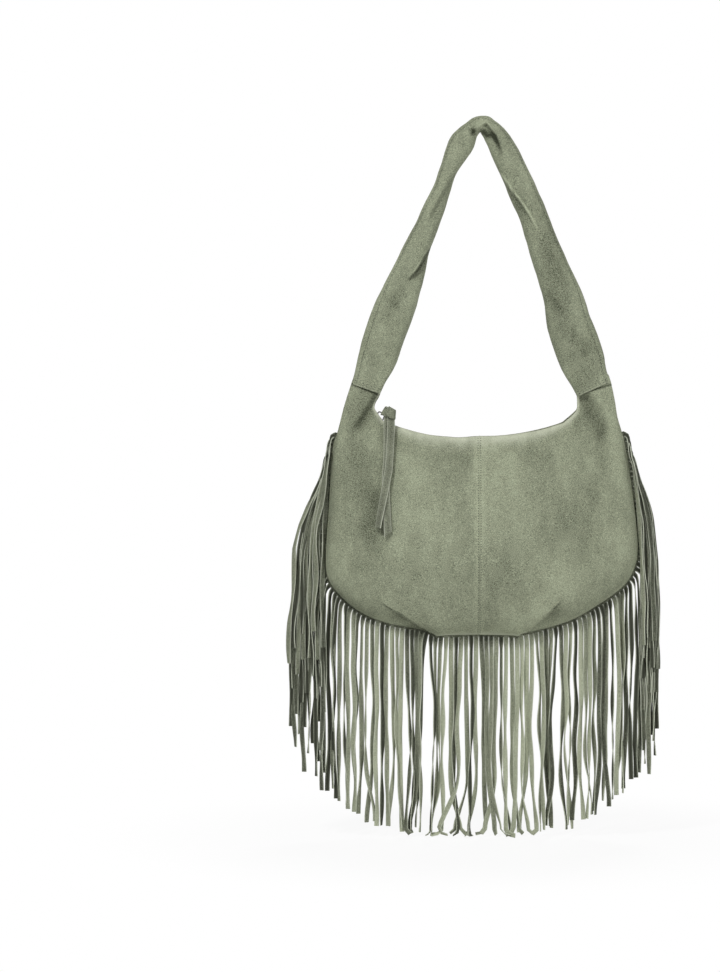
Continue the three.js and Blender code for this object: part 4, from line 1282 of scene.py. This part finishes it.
STRAP_PITCH = 4.2
STRAP_STITCH = (2.8, 0.6)
HEM_ROWS = (2.4, 4.8)
HEM_SHORT = 2.5  # the rows end this far from the strap's edges
HEM_POINTS = 24
strap_seams = [row_on_strap(range(STRAP_STEPS + 1), topstitch_in)]
for from_start in (*HEM_ROWS, *(strap_at[-1] - in_from_end for in_from_end in HEM_ROWS)):
    row = np.argmin(np.abs(strap_at - from_start))
    places = np.linspace(HEM_SHORT, 2 * strap_rows[row, 2] - HEM_SHORT, HEM_POINTS)
    strap_seams.append(row_on_strap([row] * HEM_POINTS, places))
sewn_rows("strap_stitches", strap_seams, STRAP_PITCH, STRAP_STITCH)


# The fringe: three lengths of the same suede, cut with a knife into long strips below an uncut
# heading, which is caught in the seam between front and back. The strips hang and twist, run out
# before they turn down where the seam is steep, and the longest bend where they touch the floor.

STRIP_WIDTH = 5.8
FRINGE_THICK = 1.3
STRIP_PITCH = 6
FRINGE_TOP = -357
FRINGE_LENGTH = 246
BOTTOM_STRIPS = 29
HEADING_IN = 4
HEADING_OUT = 3.5
HEADING_SHADE = -0.32  # painted shade: it lies in the shadow of the panels' edge
HEADING_STEP = 3
HEADING_ROWS = 8
HEADING_WAVE = (0.35, 7, 51)  # height, length and seed
# How far from the middle a strip of the sides hangs, by the height at which it leaves the seam.
HANG_X = {
    1: [
        (-590, 91), (-581.5, 116), (-575, 129), (-566, 145), (-553, 164), (-535, 184), (-517, 197),
        (-500, 204),
    ],
    -1: [(-590, 100), (-582, 124), (-575, 142), (-560, 164), (-547, 178), (-530, 190), (-515, 200)],
}
# Between which lines those of the upright part of the seam hang, by height, and how far across each lies
# from the one before.
CURTAIN_STEP = 0.618
CURTAIN = {
    1: [
        (-720, 192, 218), (-565, 192, 218), (-510, 190.5, 215.5), (-461, 188, 209.5), (-439, 185.5, 204.5),
        (-420, 183.5, 197.5), (-408, 182.5, 194.5), (-394, 181, 191), (-386, 179, 184.5), (-357, 172, 173),
    ],
    -1: [
        (-720, 180, 230), (-583, 180, 230), (-497, 181, 223), (-470, 181, 216.5), (-437, 179, 204.5),
        (-420, 178, 197), (-391, 176, 188), (-365, 173, 180), (-357, 171, 173),
    ],
}
# The upper ones hang before the lower ones.
HANG_Y = [(-560, 0), (-515, 5), (-470, 4), (-420, -1), (-362, -6)]
STRIP_POINTS = 44
STRIP_STEPS = 160
LEAN_FROM = 85  # a strip leans aside over this much of its lower end
FOOT_CLEAR = 2.6  # an end that reaches the floor lies this far over it
FOOT_BEND = 9  # and starts to bend this much higher
# How the strips differ, as a middle and a spread or as the least and the most.
LENGTH_VARIES = (2, 4)
FAN_VARIES = 1.5
LAYER_VARIES = 2.0
SWAYS = (0.3, 1.6)
SWAY_LONG = (90, 220)
LEANS = 11
LEANS_FREE = 0.4  # the share of that where the end doesn't reach the floor
TWIST_LEAST = 0.15
BUNCH_OF = (2, 6)
BUNCH_CLOSE = (-0.1, 0.46)
BUNCH_DEPTH = 2.6
SEAM_EVEN = 14  # the way out of the seam is taken over this much of it to each side
SEAM_RISES = 200  # from this point of its line on, the seam goes up all the way
MOST_STRIPS = 100  # on half the bag
STRIP_OVERLAP = 1.5  # a strip starts this far up in the heading
STRAIGHT_ASIDE = 1.5  # and hangs this far aside of its start where the seam is level
LEAST_ASIDE = 2.5  # or at least this far where it is steep
# A strip turns down from its way out of the seam by an angle, in radians. Between which angles it comes to
# fan out, to be steep and to be upright.
LEAST_TURN = 0.02
FANNED = (0.25, 0.6)
STEEP = (0.35, 1.1)
UPRIGHT = (0.95, 1.35)
TURN_ASIDE = 3  # it goes this far aside as it turns, and then a share of the rest
TURN_SHARE = 0.6
TURN_LONG = (2.5, 60)
CURL_BEYOND = 0.3  # on the floor it may point this much backwards

seam_runs = {side: run_of(line) for side, line in seam_lines.items()}
strips_per_half = {
    side: int(np.interp(FRINGE_TOP, line[SEAM_RISES:, 1], seam_runs[side][SEAM_RISES:]) // STRIP_PITCH)
    for side, line in seam_lines.items()
}


def on_seam(distance, side):
    """A place on a half's seam and the way out of the bag there, both as on the right."""
    before, place, after = (
        np.array([np.interp(at, seam_runs[side], c) for c in seam_lines[side].T])
        for at in (distance - SEAM_EVEN, distance, distance + SEAM_EVEN)
    )
    way = (after - before) / np.linalg.norm(after - before)
    return place, np.array([way[1], -way[0]])


draw = np.random.default_rng(41)
# The strips hang in bunches: how far each is drawn to its bunch's middle, and its place before or behind.
bunches = {1: [], -1: []}
for bunch in bunches.values():
    while len(bunch) < MOST_STRIPS:
        many = draw.integers(*BUNCH_OF)
        close, drift = draw.uniform(*BUNCH_CLOSE), draw.normal(0, 1.0)
        for k, layer in enumerate(draw.permutation(many)):
            middle = (many - 1) / 2
            bunch.append((drift - close * (k - middle) * STRIP_PITCH, BUNCH_DEPTH * (layer - middle)))


def strip_line(number, side):
    """The middle line of a strip from its slit to its end, which way it faces, and its tone, which holds
    painted shade and light.
    """
    root, out = on_seam((number + 0.5) * STRIP_PITCH, side)
    start = root + out * (HEADING_OUT - STRIP_OVERLAP)
    length = FRINGE_LENGTH - HEADING_OUT + draw.normal(*LENGTH_VARIES)
    bend = max(math.pi / 2 - math.atan2(-out[1], out[0]), LEAST_TURN)
    steep = float(eased(bend, *STEEP))
    upright = float(eased(bend, *UPRIGHT))
    high, inner, outer = np.array(CURTAIN[side]).T
    place = CURTAIN_STEP * number % 1
    fan = np.interp(root[1], *np.array(HANG_X[side]).T) + draw.normal(0, FAN_VARIES)
    fanned = eased(bend, *FANNED)

    def curtain(z):
        low, wide = np.interp(z, high, inner), np.interp(z, high, outer - inner)
        return low + STRIP_WIDTH / 2 + place * np.maximum(wide - STRIP_WIDTH, 0)

    def hang(z):
        aside = np.maximum((1 - upright) * fan + upright * curtain(z) - start[0], LEAST_ASIDE)
        return STRAIGHT_ASIDE + fanned * (aside - STRAIGHT_ASIDE)

    # The divisor is how far aside a turn goes that eases out over 1 mm: the start of the sine integral.
    offset = hang(root[1] - 25)
    at_once = min(TURN_ASIDE + TURN_SHARE * max(offset - TURN_ASIDE, 0), offset)
    ease = np.clip(at_once / (bend - bend**3 / 18 + bend**5 / 600), *TURN_LONG)
    pull, layer = bunches[side][number]
    pull *= 1 - steep
    before = np.interp(root[1], *np.array(HANG_Y).T) + draw.normal(0, LAYER_VARIES)
    layer = (1 - steep) * layer + steep * before
    sway, sway_at, sway_long = draw.uniform(*SWAYS), draw.uniform(0, 6.3), draw.uniform(*SWAY_LONG)
    curl_way = draw.uniform(-CURL_BEYOND, math.pi + CURL_BEYOND)
    twist = draw.choice([-1, 1]) * draw.uniform(TWIST_LEAST, 1.0 - 0.1 * steep)
    twist_on, twist_at = draw.normal(0, 1.0), draw.uniform(0, 6.3)
    shade = np.clip(draw.normal(0, 0.25 + 0.1 * steep), -0.5, 0.3 - 0.1 * steep)
    # Painted shade: the steep strips, and those further behind, are darker, as in the shadow of those
    # before them.
    shade -= steep * (0.46 + 0.03 * layer)
    ground = FLOOR_LEVEL / MM + FOOT_CLEAR
    on_floor = start[1] - length < ground + 3
    lean = draw.normal(0, LEANS) * (1 - steep) * (1 if on_floor else LEANS_FREE)

    # It runs out of the seam and turns down, drawn to its place, leaning and swaying a little.
    u = np.linspace(0, length, STRIP_STEPS)
    step = u[1] - u[0]
    turn = math.pi / 2 - bend * np.exp(-u / ease)
    x = start[0] + np.concatenate([[0], np.cumsum(np.cos(turn[:-1]) * step)])
    z = start[1] - np.concatenate([[0], np.cumsum(np.sin(turn[:-1]) * step)])
    x += (hang(z) - at_once) * eased(u, 0, 50) + pull * eased(u, 2, 95)
    x += lean * eased(u, length - LEAN_FROM, length) ** 1.5
    wave = 2 * np.pi * u / sway_long
    x += sway * eased(u, 10, 90) * np.sin(wave + sway_at)
    y = layer * eased(u, 1, 60 - 34 * steep) + 0.8 * sway * eased(u, 20, 120) * np.cos(wave + 1.3 * sway_at)
    points = np.stack([side * x, y, z], -1)

    # Its end bends along the floor.
    foot = z < ground + FOOT_BEND
    flat = np.array([math.cos(curl_way), -0.7 * abs(math.sin(curl_way)), 0])
    for k in range(np.argmax(foot) if foot.any() else len(z), len(z)):
        near = np.clip((points[k - 1, 2] - ground) / FOOT_BEND, 0, 1)
        way = near * np.array([0, 0, -1.0]) + (1 - near) * flat + 1e-6
        points[k] = points[k - 1] + way / np.linalg.norm(way) * step

    # It twists along its length. Painted shade darkens it near the seam, under the panels' edge, and a
    # painted light and shade follow which way it is turned.
    angle = math.copysign(0.7 * steep, twist) * eased(u, 0, 8) * (1 - eased(u, 14, 60))
    angle += twist * eased(u, 0, 17) + twist_on * eased(u, 30, length)
    angle += 0.45 * eased(u, 30, 120) * np.sin(2 * np.pi * u / 85 + twist_at)
    tone = shade + 0.1 * np.sin(angle) - 0.36 * (1 - eased(u, 1, 10))
    tone -= (0.12 + 0.2 * steep) * (1 - eased(u, 2, 32 + 30 * steep))
    kept = np.linspace(0, 1, STRIP_POINTS) ** 1.3 * (STRIP_STEPS - 1)
    kept = np.unique(np.round(kept).astype(int))
    return points[kept], faced(points, angle)[kept], tone[kept]


def heading(name, low, high):
    """The uncut part between two distances along the seam. A negative one is left of the middle."""
    distances = np.linspace(low, high, int((high - low) / HEADING_STEP))
    outs = np.linspace(-HEADING_IN, HEADING_OUT, HEADING_ROWS)
    outer = np.zeros((len(distances), len(outs), 3))
    for i, distance in enumerate(distances):
        side = -1 if distance < 0 else 1
        root, out = on_seam(abs(distance), side)
        for j, by in enumerate(outs):
            p = root + out * by
            outer[i, j] = (side * p[0], -FRINGE_THICK / 2, p[1])
    wave, long, seed = HEADING_WAVE
    waves = wave * lumps(distances, distances * 0, long, seed)
    outer[..., 1] += waves[:, None] * eased(outs, 0, HEADING_OUT)[None]
    inner = outer + np.array([0, FRINGE_THICK, 0])
    return shell(name, outer, inner, fringe_suede, {"tone": np.full(2 * outer[..., 0].size, HEADING_SHADE)})


bottom_end = BOTTOM_STRIPS * STRIP_PITCH - SEWN_GAP / 2
side_start = BOTTOM_STRIPS * STRIP_PITCH + SEWN_GAP / 2
right_strips, left_strips = strips_per_half[1], strips_per_half[-1]
for name, sides, numbers, low, high in (
    ("fringe_bottom", (1, -1), (0, BOTTOM_STRIPS), -bottom_end, bottom_end),
    ("fringe_side_right", (1,), (BOTTOM_STRIPS, right_strips), side_start, right_strips * STRIP_PITCH),
    ("fringe_side_left", (-1,), (BOTTOM_STRIPS, left_strips), -left_strips * STRIP_PITCH, -side_start),
):
    chains = [strip_line(number, side) for side in sides for number in range(*numbers)]
    strips = cut_strips(f"{name}_strips", chains, STRIP_WIDTH, FRINGE_THICK)
    band = heading(f"{name}_heading", low, high)
    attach(strips, "bag")
    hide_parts(name)
    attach(band, "bag")
    (high - low) * MM
bpy.data.objects.remove(cut_section)
